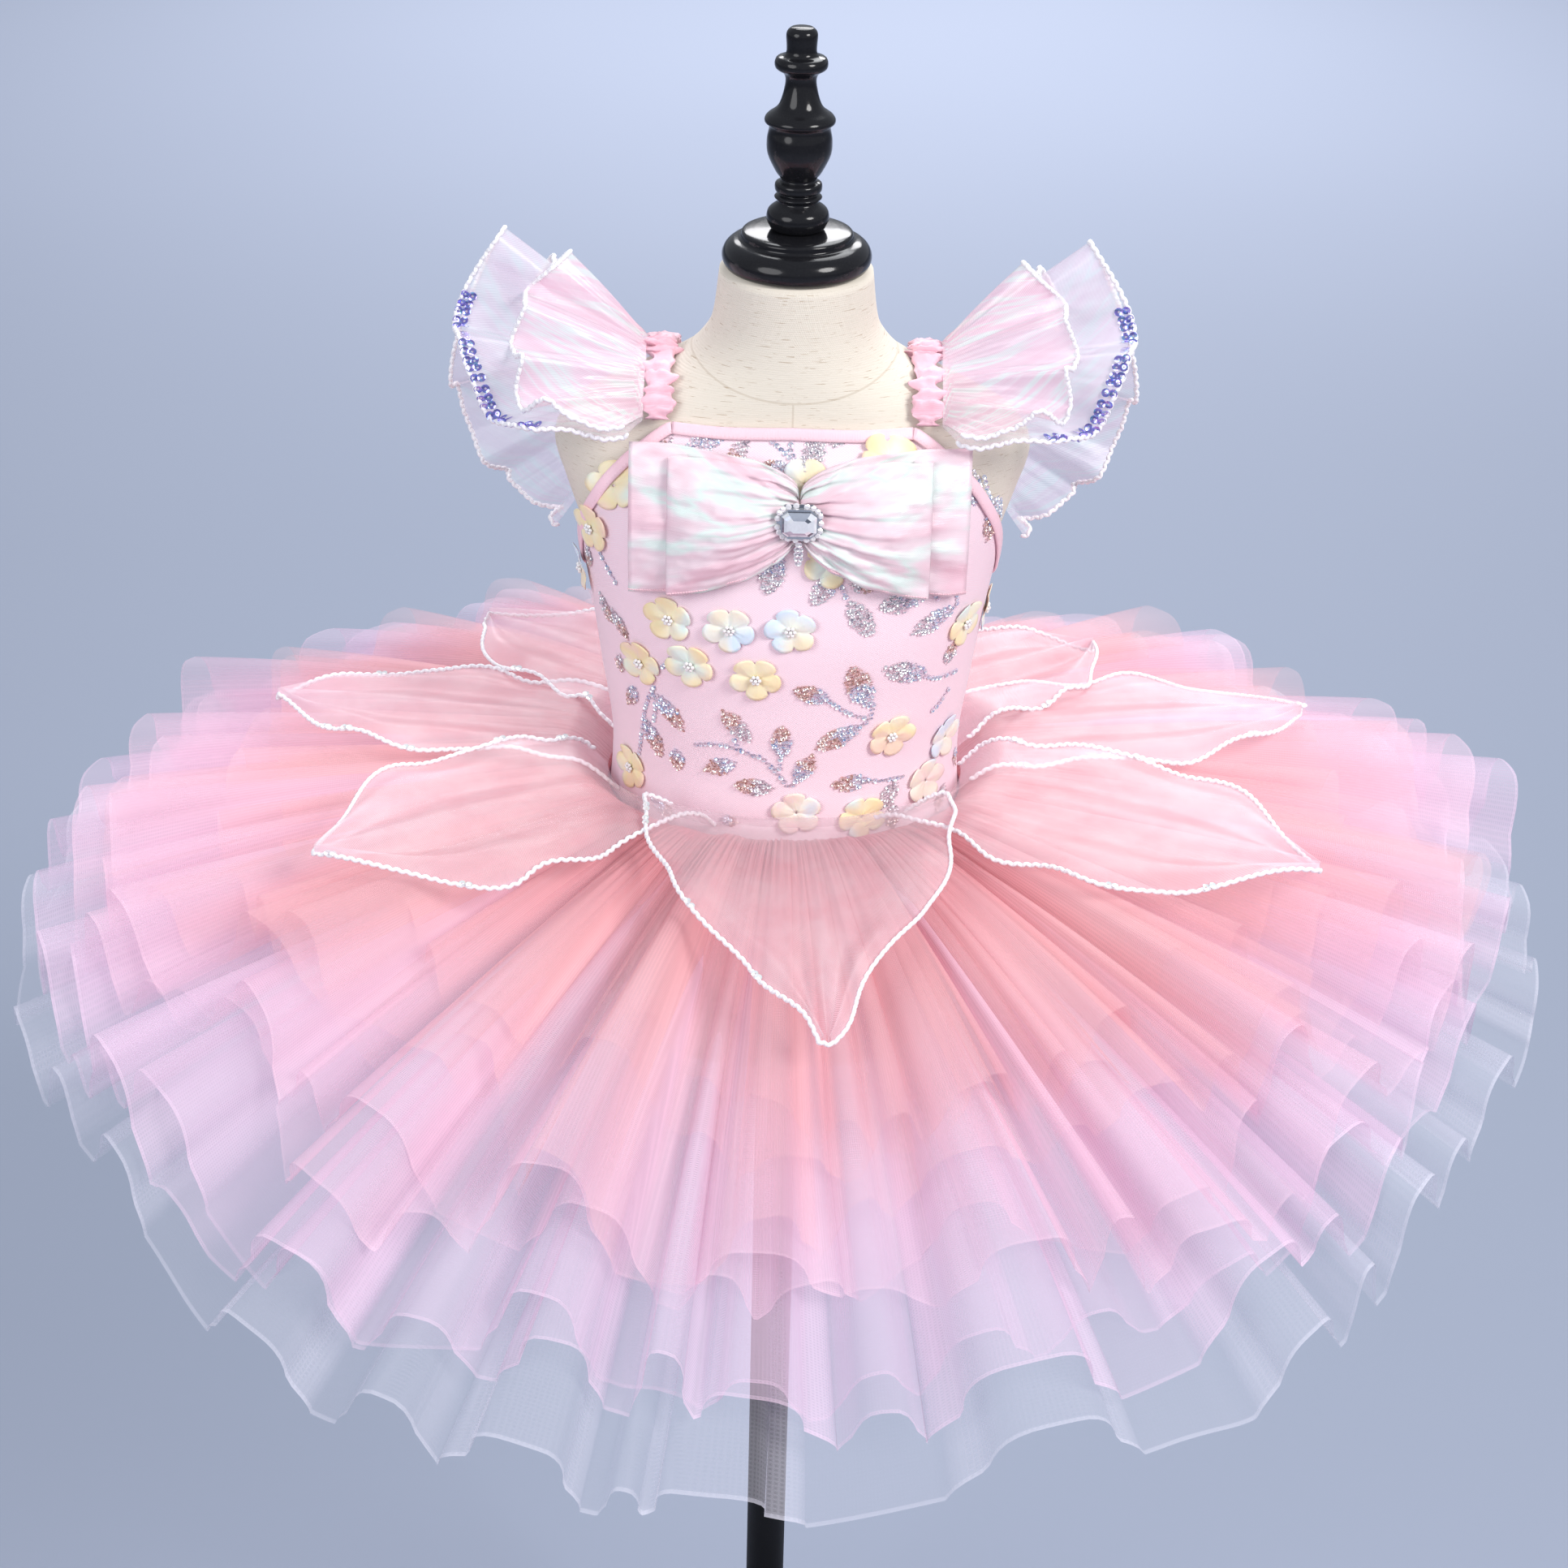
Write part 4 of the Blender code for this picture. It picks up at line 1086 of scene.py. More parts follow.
def wing_rows(table, side, phase, rings, per_row, gathers):
    """Rows of a ruffle from its root out, with the waves of its edge and the fine gathers of its root."""
    roots = [Vector(row["root"]) for row in table]
    edges = [Vector(row["edge"]) for row in table]
    spans = (len(table) - 1) * per_row
    columns = []
    for column in range(spans + 1):
        place = column / per_row
        columns.append((spline(roots, place), spline(edges, place), min(1, place), column / spans))
    rows = []
    for ring in range(rings + 1):
        share = (ring / rings) ** 1.1
        row = []
        for index, (root, edge, grown_in, run) in enumerate(columns):
            ahead = columns[min(index + 3, spans)][1] - columns[max(index - 3, 0)][1]
            up = ahead.cross(edge - root).normalized()
            if up.z < 0:
                up.negate()
            wave = grown_in * math.cos(2 * math.pi * (WING_WAVES * run + phase))
            fine = math.cos(2 * math.pi * (gathers * run + 0.6 * math.sin(9 * run)))
            small = math.cos(2 * math.pi * (13.5 * run + 0.4 * phase))
            lift = WING_WAVE_HEIGHT * share ** 1.4 * wave
            lift += 0.0010 * fine * ramped(share, 0, 0.08) * (1 - 0.8 * share)
            lift += 0.0024 * small * share ** 1.6 * grown_in
            bulge = 0.006 * math.sin(math.pi * share) * grown_in
            point = root.lerp(edge, share) + up * (lift + bulge * 0.3)
            row.append(Vector((side * point.x, point.y, WAIST_HEIGHT + point.z)))
        rows.append(row)
    return rows if side < 0 else [list(reversed(row)) for row in rows]


def make_wings():
    """Long sheer ruffles with short ones over them, corded at their edges, the long ones with sequins."""
    sequins = []
    for name, side in (("left", 1), ("right", -1)):
        for kind, table, phase, finish, slot, gathers in (
                ("wing_long_", WING_LONG, 0.5, SHEER_ORGANZA, "sheer_organza", 42),
                ("wing_short_", WING_SHORT, 0.25, WING_ORGANZA, "iridescent_organza", 34)):
            rows = wing_rows(table, side, phase, 26, 26, gathers)
            mesh = grid_mesh(kind + name, rows, flat_map(rows))
            put(kind + name, mesh, finish, slot, kind + name)
            sewn(kind + name + "_cord", [rows[-1]], slot, **CORD)
            if kind == "wing_long_":
                sequins += wing_sequins(rows, side)
    scattered("wing_sequins", sequins, "sheer_organza", Shape=SEQUIN, Size=0.0023, Tilt=0.25, Seed=8,
              Material=BLUE_SEQUIN)


def wing_sequins(rows, side):
    """Pairs of sequins along a stretch of the long ruffle's front edge."""
    edge = rows[-1] if side < 0 else list(reversed(rows[-1]))
    inner = rows[-3] if side < 0 else list(reversed(rows[-3]))
    spots = []
    run = 0.0
    for index in range(int(len(edge) * WING_SEQUINS_FROM), int(len(edge) * WING_SEQUINS_TO)):
        run += (edge[index + 1] - edge[index]).length
        if run < WING_SEQUIN_PITCH:
            continue
        run = 0.0
        along = (edge[index + 1] - edge[index]).normalized()
        inward = (inner[index] - edge[index]).normalized()
        facing = along.cross(inward)
        if facing.y > 0:
            facing.negate()
        for twin in (-1, 1):
            place = edge[index] + inward * (0.0032 + 0.0019 * twin) + facing * 0.0010
            spots.append(dict(place=place, facing=facing + along * 0.25 * twin, along=along))
    return spots


def bow_back(x, height):
    """How far in front of the axis the bow's back would lie with no clearance, flatter than the chest."""
    chest = max(section["depth"] for section in FORM_SECTIONS[5:])
    body = form_depth_at(abs(x), height)
    return max(body, BOW_FLATNESS * chest + (1 - BOW_FLATNESS) * body)


def bow_point(side, loop, share, up, deeper=0.0):
    """A point of one loop of the bow: a share of the way out from the knot, up from -1 to 1."""
    flare = math.sin(0.5 * math.pi * min(share, 1)) ** BOW_FLARE_POWER
    tall = BOW_KNOT_HALF_HEIGHT + (loop["half_height"] - BOW_KNOT_HALF_HEIGHT) * flare
    x = BOW_CENTRE[0] + side * (SEAM_GAP + loop["length"] * share)
    middle = BOW_CENTRE[1] - BOW_END_DROP * share
    seed = 5 * loop["length"] + side
    fan = up + 0.10 * noise.noise(Vector((up * 2.2, share * 1.3, seed)))
    crease = math.cos(2 * math.pi * 3.5 * fan) + 0.7 * math.cos(2 * math.pi * 7.3 * fan + 1.3 * side)
    crease *= 0.0017 * math.exp(-2.6 * share) * ramped(share, -0.1, 0.05)
    angle = up / (0.18 + 0.6 * share)
    crease += 0.0030 * noise.noise(Vector((share * 1.4, angle * 2.2, seed))) * ramped(share, 0.0, 0.3)
    broad = noise.noise(Vector((share * 6.2 + up * 2.0, up * 3.1, seed + 3)))
    crease += 0.0011 * broad * ramped(share, 0.1, 0.5)
    fine = noise.noise(Vector((share * 14.0, up * 11.0 - share * 7.0, seed + 7)))
    crease += 0.0005 * fine * ramped(share, 0.1, 0.4)
    puff = loop["puff"] * math.sin(math.pi * min(share, 1)) * (1 - up * up)
    ramp_in = min(share / BOW_KNOT_SHARE, 1)
    off = loop["knot_off"] + (loop["stand_off"] - loop["knot_off"]) * ramp_in
    clear = FORM_CLEARANCE + CLOTH + off + 0.0006
    depth = bow_back(x, middle + tall * up) + clear + crease + puff - deeper
    return Vector((x, -depth, WAIST_HEIGHT + middle + tall * up))


def make_bow():
    """The four pleated loops. The inner ones fold back on themselves at their ends."""
    shares = 40
    ups = [2 * step / 60 - 1 for step in range(61)]
    hems = []
    for loop in BOW_LOOPS:
        for name, side in (("_left", 1), ("_right", -1)):
            rows = []
            for step in range(shares + 1):
                share = (step / shares) ** 1.1
                rows.append([bow_point(side, loop, share, up) for up in ups])
            if loop["puff"]:
                for share, deeper in BOW_TURN:
                    rows.append([bow_point(side, loop, share, up, deeper) for up in ups])
            hems.append([row[0] + Vector((0, -0.0007, 0.0016)) for row in rows[2:shares + 1]])
            if side < 0:
                rows = [list(reversed(row)) for row in rows]
            mesh = thick(grid_mesh(loop["name"] + name, rows, flat_map(rows)), 0.0003)
            put(loop["name"] + name, mesh, IRIDESCENT, "iridescent_organza", loop["name"] + name)
    sewn("bow_hem_stitches", hems, "iridescent_organza", Pitch=0.0014, Size=0.00042, Lean=0.0,
         Material=PINK_THREAD)


def brooch_front():
    """How far in front of the axis the brooch's back lies."""
    x, height = BOW_CENTRE
    stack = FORM_CLEARANCE + 2 * CLOTH + BOW_LOOPS[-1]["stand_off"] + BROOCH_GAP
    return bow_back(x, height - SETTING_HALF_HEIGHT) + stack


def brooch_row(half_width, half_height, corner, depth):
    """An outline with cut corners at a depth in front of the axis."""
    outline = (
        (1, 1 - corner), (1 - corner, 1), (corner - 1, 1), (-1, 1 - corner),
        (-1, corner - 1), (corner - 1, -1), (1 - corner, -1), (1, corner - 1))
    x, height = BOW_CENTRE
    height += WAIST_HEIGHT
    return [Vector((x + half_width * across, -depth, height + half_height * up)) for across, up in outline]


def brooch_part(name, rows, finish, slot):
    """A faceted part of the brooch. Its mesh is given back, for more finishes."""
    mesh = grid_mesh(name, rows, closed=True, capped=True)
    mesh.shade_flat()
    put(name, mesh, finish, slot, name)
    return mesh


def make_brooch():
    """A silver setting with a step-cut stone in a ring of small stones, and a drop of sequins under it."""
    back = brooch_front()
    rows = []
    for size, depth in ((0.90, 0.0), (1.0, 0.0006), (1.0, 0.0011), (0.80, 0.0014), (0.80, SETTING_DEPTH)):
        rows.append(brooch_row(SETTING_HALF_WIDTH * size, SETTING_HALF_HEIGHT * size, 0.4, back + depth))
    brooch_part("brooch_setting", rows, SILVER, "silver")
    front = back + SETTING_DEPTH + 0.0001
    rows = []
    for size, depth in ((1.0, 0.0), (1.0, 0.0008), (0.86, 0.0022), (0.70, 0.0031), (0.50, STONE_DEPTH)):
        half_height = STONE_HALF_HEIGHT - STONE_HALF_WIDTH * (1 - size) * 0.75
        rows.append(brooch_row(STONE_HALF_WIDTH * size, half_height, 0.35, front + depth))
    mesh = brooch_part("brooch_stone", rows, STONE, "stone")
    mesh.materials.append(STONE_PAINTED_GLINT)
    mesh.materials.append(STONE_PAINTED_DARK)
    # Each facet is given one of three materials at random: the stone's own, a lit copy that is a painted
    # glint, and a dark copy that is a painted dark reflection.
    picks = random.Random(6)
    for face in mesh.polygons:
        face.material_index = picks.choice((0, 1, 1, 2))
    gems = []
    for step in range(RING_STONES):
        turn = 2 * math.pi * step / RING_STONES
        across = math.copysign(abs(math.cos(turn)) ** 0.75, math.cos(turn)) * SETTING_HALF_WIDTH * 0.96
        up = math.copysign(abs(math.sin(turn)) ** 0.75, math.sin(turn)) * SETTING_HALF_HEIGHT * 0.94
        place = Vector((BOW_CENTRE[0] + across, -back - 0.0010, WAIST_HEIGHT + BOW_CENTRE[1] + up))
        gems.append(dict(place=place, facing=Vector((0, -1, 0)), along=Vector((1, 0, 0))))
    scattered("brooch_ring", gems, "stone", Shape=GEM, Size=0.00165, Tilt=0.25, Seed=3,
              Material=CLEAR_STONE)
    drop = []
    for step in range(DROP_SEQUINS):
        for twin in (-1, 1):
            height = BOW_CENTRE[1] - SETTING_HALF_HEIGHT - 0.0022 - 0.0026 * step
            spread = 0.0011 * (1 if step % 4 else 0.4)
            place = Vector((BOW_CENTRE[0] + spread * twin, -back - 0.0008, WAIST_HEIGHT + height))
            drop.append(dict(place=place, facing=Vector((0.2 * twin, -1, 0.1)), along=Vector((0, 0, 1))))
    scattered("brooch_drop", drop, "silver", Shape=SEQUIN, Size=0.0014, Tilt=0.3, Seed=4,
              Material=SILVER_SEQUIN)


def flower_mesh(name, flower, picks):
    """Five rounded petals with a crease between each, cupped and lifted at their edges."""
    rings, around = 7, 60
    spin = picks.uniform(0, 2 * math.pi)
    span = 2 * math.pi / FLOWER_PETALS
    base = FORM_CLEARANCE + CLOTH + SEAM_GAP + flower["over"]
    radius = form_radius(flower["azimuth"], flower["height"])
    lifts = [picks.uniform(0.6, 1.3) for _ in range(FLOWER_PETALS)]
    rows = []
    for ring in range(rings + 1):
        share = (ring + 0.4) / (rings + 0.4)
        row = []
        for step in range(around):
            turn = 2 * math.pi * step / around
            lobe = abs(math.cos(0.5 * FLOWER_PETALS * turn))
            petal = int(((turn + 0.5 * span) % (2 * math.pi)) / span) % FLOWER_PETALS
            reach = FLOWER_RADIUS * share * (0.70 + 0.30 * lobe ** 0.42 if share > 0.3 else 0.9)
            sideways = reach * math.cos(turn + spin)
            azimuth = flower["azimuth"] + math.degrees(sideways / radius)
            lift = 0.0016 * share ** 1.5 * lobe * lifts[petal] + 0.0003 * lobe * math.sin(math.pi * share)
            lift += 0.0003 * noise.noise(Vector((turn * 3, share * 4, spin)))
            height = flower["height"] + reach * math.sin(turn + spin)
            row.append(on_form(azimuth, height, base + 0.0003 + max(lift, 0)))
        rows.append(row)
    return thick(grid_mesh(name, rows, flat_map(rows, closed=True), closed=True, capped=False), 0.0003)


def make_flowers():
    """The cloth flowers, with a cluster of beads in each of those in the table; the tucked flowers get
    none.
    """
    picks = random.Random(17)
    beads = []
    finishes = dict(yellow=YELLOW_CLOTH, blue=BLUE_CLOTH, blush=BLUSH_CLOTH)
    for number, flower in enumerate(FLOWERS, 1):
        name = "flower_%02d" % number
        put(name, flower_mesh(name, flower, picks), finishes[flower["cloth"]], "flower_cloth", name)
        face = facing_out(flower["azimuth"], flower["height"])
        out = FORM_CLEARANCE + CLOTH + SEAM_GAP + flower["over"]
        middle = on_form(flower["azimuth"], flower["height"], out)
        side = face.cross(Vector((0, 0, 1))).normalized()
        for step in range(BEADS_AROUND + 1):
            turn = 2 * math.pi * step / BEADS_AROUND
            ring = 0.0 if step == BEADS_AROUND else BEAD_RING_RADIUS
            place = middle + face * (0.0019 if ring else 0.0026)
            place += side * ring * math.cos(turn) + face.cross(side) * ring * math.sin(turn)
            beads.append(dict(place=place, facing=face, along=side))
    for x, y, cloth in TUCKED_FLOWERS:
        azimuth, height = on_bodice_at(x, y)
        flower = dict(azimuth=azimuth, height=height, over=0.0, cloth=cloth)
        name = "tucked_flower_%d" % x
        put(name, flower_mesh(name, flower, picks), finishes[cloth], "flower_cloth")
    scattered("flower_beads", beads, "flower_cloth", Shape=BEAD, Size=0.0011, Tilt=0.0, Seed=1,
              Material=PEARL)


# Sequin leaves on the bodice's front: middle in the 1932 x 1932 frame, direction in degrees, length in
# pixels, tint of the tip
LEAVES = (
    (816, 543, 268, 26, "rose"), (868, 546, 200, 28, "blue"), (911, 555, 230, 22, "rose"),
    (1002, 558, 60, 38, "silver"), (954, 578, 178, 36, "rose"), (1029, 539, 0, 24, "silver"),
    (1194, 596, 270, 44, "blue"), (1223, 639, 265, 50, "rose"), (952, 706, 255, 50, "silver"),
    (1015, 726, 235, 42, "silver"), (1063, 721, 352, 28, "rose"), (1060, 762, 300, 48, "silver"),
    (1111, 742, 188, 44, "silver"), (1149, 765, 208, 40, "silver"), (726, 685, 260, 26, "rose"),
    (747, 749, 285, 30, "rose"), (764, 769, 290, 32, "rose"), (765, 817, 265, 22, "rose"),
    (779, 857, 250, 28, "rose"), (826, 878, 300, 44, "rose"), (806, 909, 282, 44, "rose"),
    (907, 894, 128, 46, "rose"), (887, 944, 207, 38, "rose"), (835, 935, 270, 26, "rose"),
    (963, 914, 90, 40, "rose"), (929, 969, 182, 44, "rose"), (991, 946, 62, 38, "rose"),
    (1000, 856, 160, 44, "rose"), (1059, 846, 114, 60, "rose"), (1032, 909, 208, 54, "rose"),
    (1116, 828, 155, 48, "silver"), (1170, 805, 90, 26, "rose"), (1048, 964, 182, 40, "rose"),
    (1095, 978, 250, 34, "silver"), (1099, 1005, 270, 30, "rose"), (1176, 931, 270, 22, "rose"),
    (1158, 982, 255, 28, "rose"), (817, 994, 330, 28, "rose"), (899, 1011, 0, 18, "rose"),
)
# Chains of sequins between them, through places in the same frame
STEMS = (
    ((947, 539), (965, 556), (983, 574)), ((976, 541), (974, 556), (985, 573)),
    ((1212, 588), (1216, 604), (1222, 620)), ((1032, 712), (1038, 727), (1044, 740)),
    ((1143, 722), (1158, 741)), ((1177, 728), (1179, 742), (1170, 756)),
    ((740, 681), (747, 696), (761, 721)), ((806, 847), (797, 867), (792, 896), (788, 928)),
    ((804, 850), (808, 870), (806, 890)), ((817, 821), (829, 808)),
    ((858, 917), (886, 917), (911, 924), (929, 931)), ((929, 931), (940, 935), (958, 953), (972, 971)),
    ((1022, 864), (1044, 878), (1069, 885)), ((1061, 893), (1069, 889)),
    ((1140, 833), (1154, 835), (1177, 826)), ((1168, 849), (1157, 866), (1145, 878)),
    ((1072, 962), (1095, 960), (1113, 956)), ((1076, 868), (1071, 890)), ((905, 912), (912, 924)),
    ((962, 930), (960, 950)), ((984, 958), (974, 970)),
)
# Sprays on the bodice's back: azimuth and height of the stem's foot, and the way it leans
BACK_SPRAYS = records("azimuth height lean", (
    (-165, 0.135, 20),
    (165, 0.040, -25),
    (-135, 0.090, -15),
    (178, 0.085, 10),
    (-172, 0.005, 35),
    (132, 0.030, 15),
    (-138, 0.015, -20),
    (140, 0.130, -12),
    (-112, 0.020, 12),
    (112, 0.070, -10),
))
SEQUIN_PITCH = 0.0018
STEM_PITCH = 0.0028
LEAF_PIXELS_PER_METRE = 2340.0
BACK_LEAF_LENGTH = 0.018
BACK_STEM_STEP = 0.011


def on_cloth(azimuth, height, across, up, over=0.0005):
    """A spot on the bodice, a little across and up from a place, ready for a sequin."""
    height += up
    azimuth += math.degrees(across / form_radius(azimuth, height))
    place = on_form(azimuth, height, FORM_CLEARANCE + CLOTH + over)
    return dict(place=place, facing=facing_out(azimuth, height), along=Vector((1, 0, 0)))


def leaf_spots(azimuth, height, across, up, picks):
    """Sequins that fill a pointed leaf, in two lists: those of its foot and those of its tip."""
    base, tip = [], []
    length = math.hypot(across, up)
    ahead = (across / length, up / length)
    lines = max(4, int(length / (0.87 * SEQUIN_PITCH)))
    for line in range(lines + 1):
        share = line / lines
        wide = (0.0027 + 0.145 * length) * math.sin(math.pi * (share * 0.92 + 0.04)) ** 0.75
        count = max(1, int(2 * wide / SEQUIN_PITCH + 0.5 * (line % 2)))
        for spot in range(count):
            side = (spot - (count - 1) / 2) * SEQUIN_PITCH + picks.uniform(-1.5e-4, 1.5e-4)
            run = (share - 0.5) * length + picks.uniform(-1.5e-4, 1.5e-4)
            right = run * ahead[0] - side * ahead[1]
            above = run * ahead[1] + side * ahead[0]
            made = on_cloth(azimuth, height, right, above, picks.uniform(4e-4, 1.0e-3))
            (tip if share + picks.uniform(-0.12, 0.12) > 0.5 else base).append(made)
    return base, tip


def make_sequins():
    """Sprays of sequin leaves on chains of sequins, round the bodice."""
    picks = random.Random(29)
    tints = dict(rose=[], silver=[], blue=[])
    stems = []
    for x, y, turn, long, tint in LEAVES:
        azimuth, height = on_bodice_at(x, y)
        long /= LEAF_PIXELS_PER_METRE
        across = long * math.cos(math.radians(turn)) / max(0.35, math.cos(math.radians(azimuth)))
        up = long * math.sin(math.radians(turn)) / math.cos(CAMERA_TILT)
        base, tip = leaf_spots(azimuth, height, across, up, picks)
        tints[tint] += tip
        tints["silver" if picks.random() < 0.4 else "blue"] += base
    for stem in STEMS:
        chain([Vector((*on_bodice_at(x, y), 0)) for x, y in stem], stems)
    for spray in BACK_SPRAYS:
        back_spray(spray, tints, picks)
    finishes = dict(rose=ROSE_SEQUIN, silver=SILVER_SEQUIN, blue=LILAC_SEQUIN)
    for tint, spots in tints.items():
        scattered("leaf_sequins_" + tint, spots, "bodice_cloth", Shape=SEQUIN, Size=0.00105, Tilt=0.7,
                  Seed=12, Material=finishes[tint])
    scattered("stem_sequins", stems, "bodice_cloth", Shape=SEQUIN, Size=0.00145, Tilt=0.5, Seed=13,
              Material=LILAC_SEQUIN)


def chain(places, spots):
    """Sequins one after another through places on the bodice, given as azimuth and height."""
    count = 60
    last = None
    for step in range(count * (len(places) - 1) + 1):
        here = spline(places, step / count)
        spot = on_cloth(here.x, here.y, 0, 0)
        if last is None or (spot["place"] - last).length >= STEM_PITCH:
            spots.append(spot)
            last = spot["place"]


def back_spray(spray, tints, picks):
    """A stem with four leaves on it."""
    azimuth, height = spray["azimuth"], spray["height"]
    lean = math.tan(math.radians(spray["lean"]))
    places = []
    for step in range(4):
        up = BACK_STEM_STEP * step
        turn = azimuth + math.degrees(lean * up / form_radius(azimuth, height))
        places.append(Vector((turn, height + up, 0)))
    chain(places, tints["blue"])
    for step, side in ((1, 1), (2, -1), (3, 1), (3, -1)):
        spot = places[step]
        turn = math.radians(90 - side * (52 - 8 * step))
        across, up = BACK_LEAF_LENGTH * math.cos(turn), BACK_LEAF_LENGTH * math.sin(turn)
        centre = spot.x + math.degrees(0.62 * across / form_radius(spot.x, spot.y))
        base, tip = leaf_spots(centre, spot.y + 0.62 * up, across, up, picks)
        tints["silver"] += base
        tints["rose"] += tip


def finish_of(name, colour, roughness, **sockets):
    """A material with one Principled shader, its colour, and its plain sockets by name."""
    material = bpy.data.materials.new(name)
    material.use_nodes = True
    shader = material.node_tree.nodes["Principled BSDF"]
    shader.inputs["Base Color"].default_value = (*colour, 1)
    shader.inputs["Roughness"].default_value = roughness
    for label, value in sockets.items():
        shader.inputs[label.replace("_", " ")].default_value = value
    return material, material.node_tree, shader


def cloth_place(tree):
    """The place on the flat cloth, in metres, and its two parts."""
    place = tree_node(tree, "ShaderNodeUVMap", uv_map="cloth").outputs["UV"]
    parts = split(tree, place)
    return place, parts["X"], parts["Y"]


def object_place(tree):
    """The place on the object, in metres."""
    return tree_node(tree, "ShaderNodeTexCoord").outputs["Object"]


def stretched(tree, place, x, y, z=1.0):
    """A place scaled differently each way."""
    mapping = tree_node(tree, "ShaderNodeMapping", {"Vector": place})
    mapping.inputs["Scale"].default_value = (x, y, z)
    return mapping.outputs["Vector"]


def clouds(tree, place, scale, detail=2.0, roughness=0.5):
    """Noise from 0 to 1."""
    node = tree_node(tree, "ShaderNodeTexNoise", {
        "Vector": place, "Scale": scale, "Detail": detail, "Roughness": roughness})
    return node.outputs[0]


def coloured(tree, factor, stops):
    """The colour of a ramp of places and colours."""
    node = tree_node(tree, "ShaderNodeValToRGB", {"Fac": factor})
    ramp = node.color_ramp
    while len(ramp.elements) < len(stops):
        ramp.elements.new(0.5)
    for element, (place, colour) in zip(ramp.elements, stops):
        element.position = place
        element.color = (*colour, 1)
    return node.outputs["Color"]


def mixed(tree, factor, first, second):
    """A mix of two colours, each a socket or a plain colour."""
    def as_colour(value):
        return value if isinstance(value, bpy.types.NodeSocket) else (*value, 1)
    node = tree_node(tree, "ShaderNodeMix", {
        "Factor": factor, "A": as_colour(first), "B": as_colour(second)}, data_type="RGBA")
    return named(node.outputs, "Result")


def bumped(tree, shader, height, strength, distance):
    """Give the shader a bump."""
    node = tree_node(tree, "ShaderNodeBump", {"Height": height, "Strength": strength, "Distance": distance})
    tree.links.new(node.outputs["Normal"], shader.inputs["Normal"])


def ranged(tree, value, low, high, at_low, at_high):
    """A value between two bounds, carried over to two others."""
    node = tree_node(tree, "ShaderNodeMapRange", {
        "Value": value, "From Min": low, "From Max": high, "To Min": at_low, "To Max": at_high})
    return node.outputs["Result"]


def split(tree, place):
    """The sockets of a place's three parts."""
    return tree_node(tree, "ShaderNodeSeparateXYZ", {"Vector": place}).outputs


def threads(tree, along, pitch):
    """A wave from 0 to 1 along a coordinate, one to a thread."""
    wave = worked(tree, "SINE", worked(tree, "MULTIPLY", along, 2 * math.pi / pitch))
    return worked(tree, "MULTIPLY_ADD", wave, 0.5, 0.5)


def linen():
    """Slubbed linen: cream, with brown flecks along and across, and the seam down the front."""
    material, tree, shader = finish_of("linen", (0.80, 0.71, 0.58), 0.88, Sheen_Weight=0.15,
                                       Specular_IOR_Level=0.25)
    place, u, v = cloth_place(tree)
    across = clouds(tree, stretched(tree, place, 45, 1500), 1.0, 3.0, 0.6)
    upwards = clouds(tree, stretched(tree, place, 1700, 55), 1.0, 3.0, 0.6)
    base = mixed(tree, upwards, (0.77, 0.71, 0.61), (0.64, 0.56, 0.46))
    base = mixed(tree, worked(tree, "MULTIPLY", across, 0.5), base, (0.84, 0.80, 0.73))
    for wide, tall, least, strength, colour in (
            (90, 1400, 0.66, 0.55, (0.34, 0.22, 0.12)), (1500, 110, 0.72, 0.35, (0.50, 0.38, 0.25))):
        fleck = clouds(tree, stretched(tree, place, wide, tall), 1.0, 2.0, 0.5)
        fleck = worked(tree, "GREATER_THAN", fleck, least)
        base = mixed(tree, worked(tree, "MULTIPLY", fleck, strength), base, colour)
    parts = split(tree, object_place(tree))
    middle = worked(tree, "LESS_THAN", worked(tree, "ABSOLUTE", parts["X"]), SEAM_HALF_WIDTH)
    dip = worked(tree, "MULTIPLY", worked(tree, "MULTIPLY", parts["X"], parts["X"]), NECK_RING_DIP)
    ring_place = worked(tree, "SUBTRACT", parts["Z"], dip)
    ring_place = worked(tree, "SUBTRACT", ring_place, WAIST_HEIGHT + NECK_RING)
    ring = worked(tree, "LESS_THAN", worked(tree, "ABSOLUTE", ring_place), SEAM_HALF_WIDTH)
    below = worked(tree, "LESS_THAN", ring_place, 0.0)
    seam = worked(tree, "MAXIMUM", ring, worked(tree, "MULTIPLY", middle, below))
    base = mixed(tree, worked(tree, "MULTIPLY", seam, 0.35), base, (0.45, 0.36, 0.26))
    tree.links.new(base, shader.inputs["Base Color"])
    weave = worked(tree, "MULTIPLY", threads(tree, u, 0.0011), threads(tree, v, 0.0011))
    height = worked(tree, "ADD", weave, worked(tree, "ADD", across, upwards))
    height = worked(tree, "SUBTRACT", height, worked(tree, "MULTIPLY", seam, 2.0))
    bumped(tree, shader, height, 0.35, 0.0004)
    return material


def lacquer(name, roughness, coat):
    """Black lacquer with faint orange peel and dust."""
    material, tree, shader = finish_of(name, (0.010, 0.010, 0.012), roughness, Coat_Weight=coat,
                                       Coat_Roughness=0.06, Specular_IOR_Level=0.16)
    place = object_place(tree)
    dust = clouds(tree, place, 900.0, 2.0, 0.7)
    shade = coloured(tree, dust, (
        (0.0, (0.006, 0.006, 0.008)), (0.72, (0.012, 0.012, 0.014)), (0.86, (0.05, 0.05, 0.055))))
    tree.links.new(shade, shader.inputs["Base Color"])
    worn = worked(tree, "MULTIPLY_ADD", clouds(tree, place, 60.0, 3.0, 0.6), 0.12, roughness - 0.03)
    tree.links.new(worn, shader.inputs["Roughness"])
    bumped(tree, shader, clouds(tree, place, 240.0, 2.0, 0.5), 0.05, 0.0004)
    return material


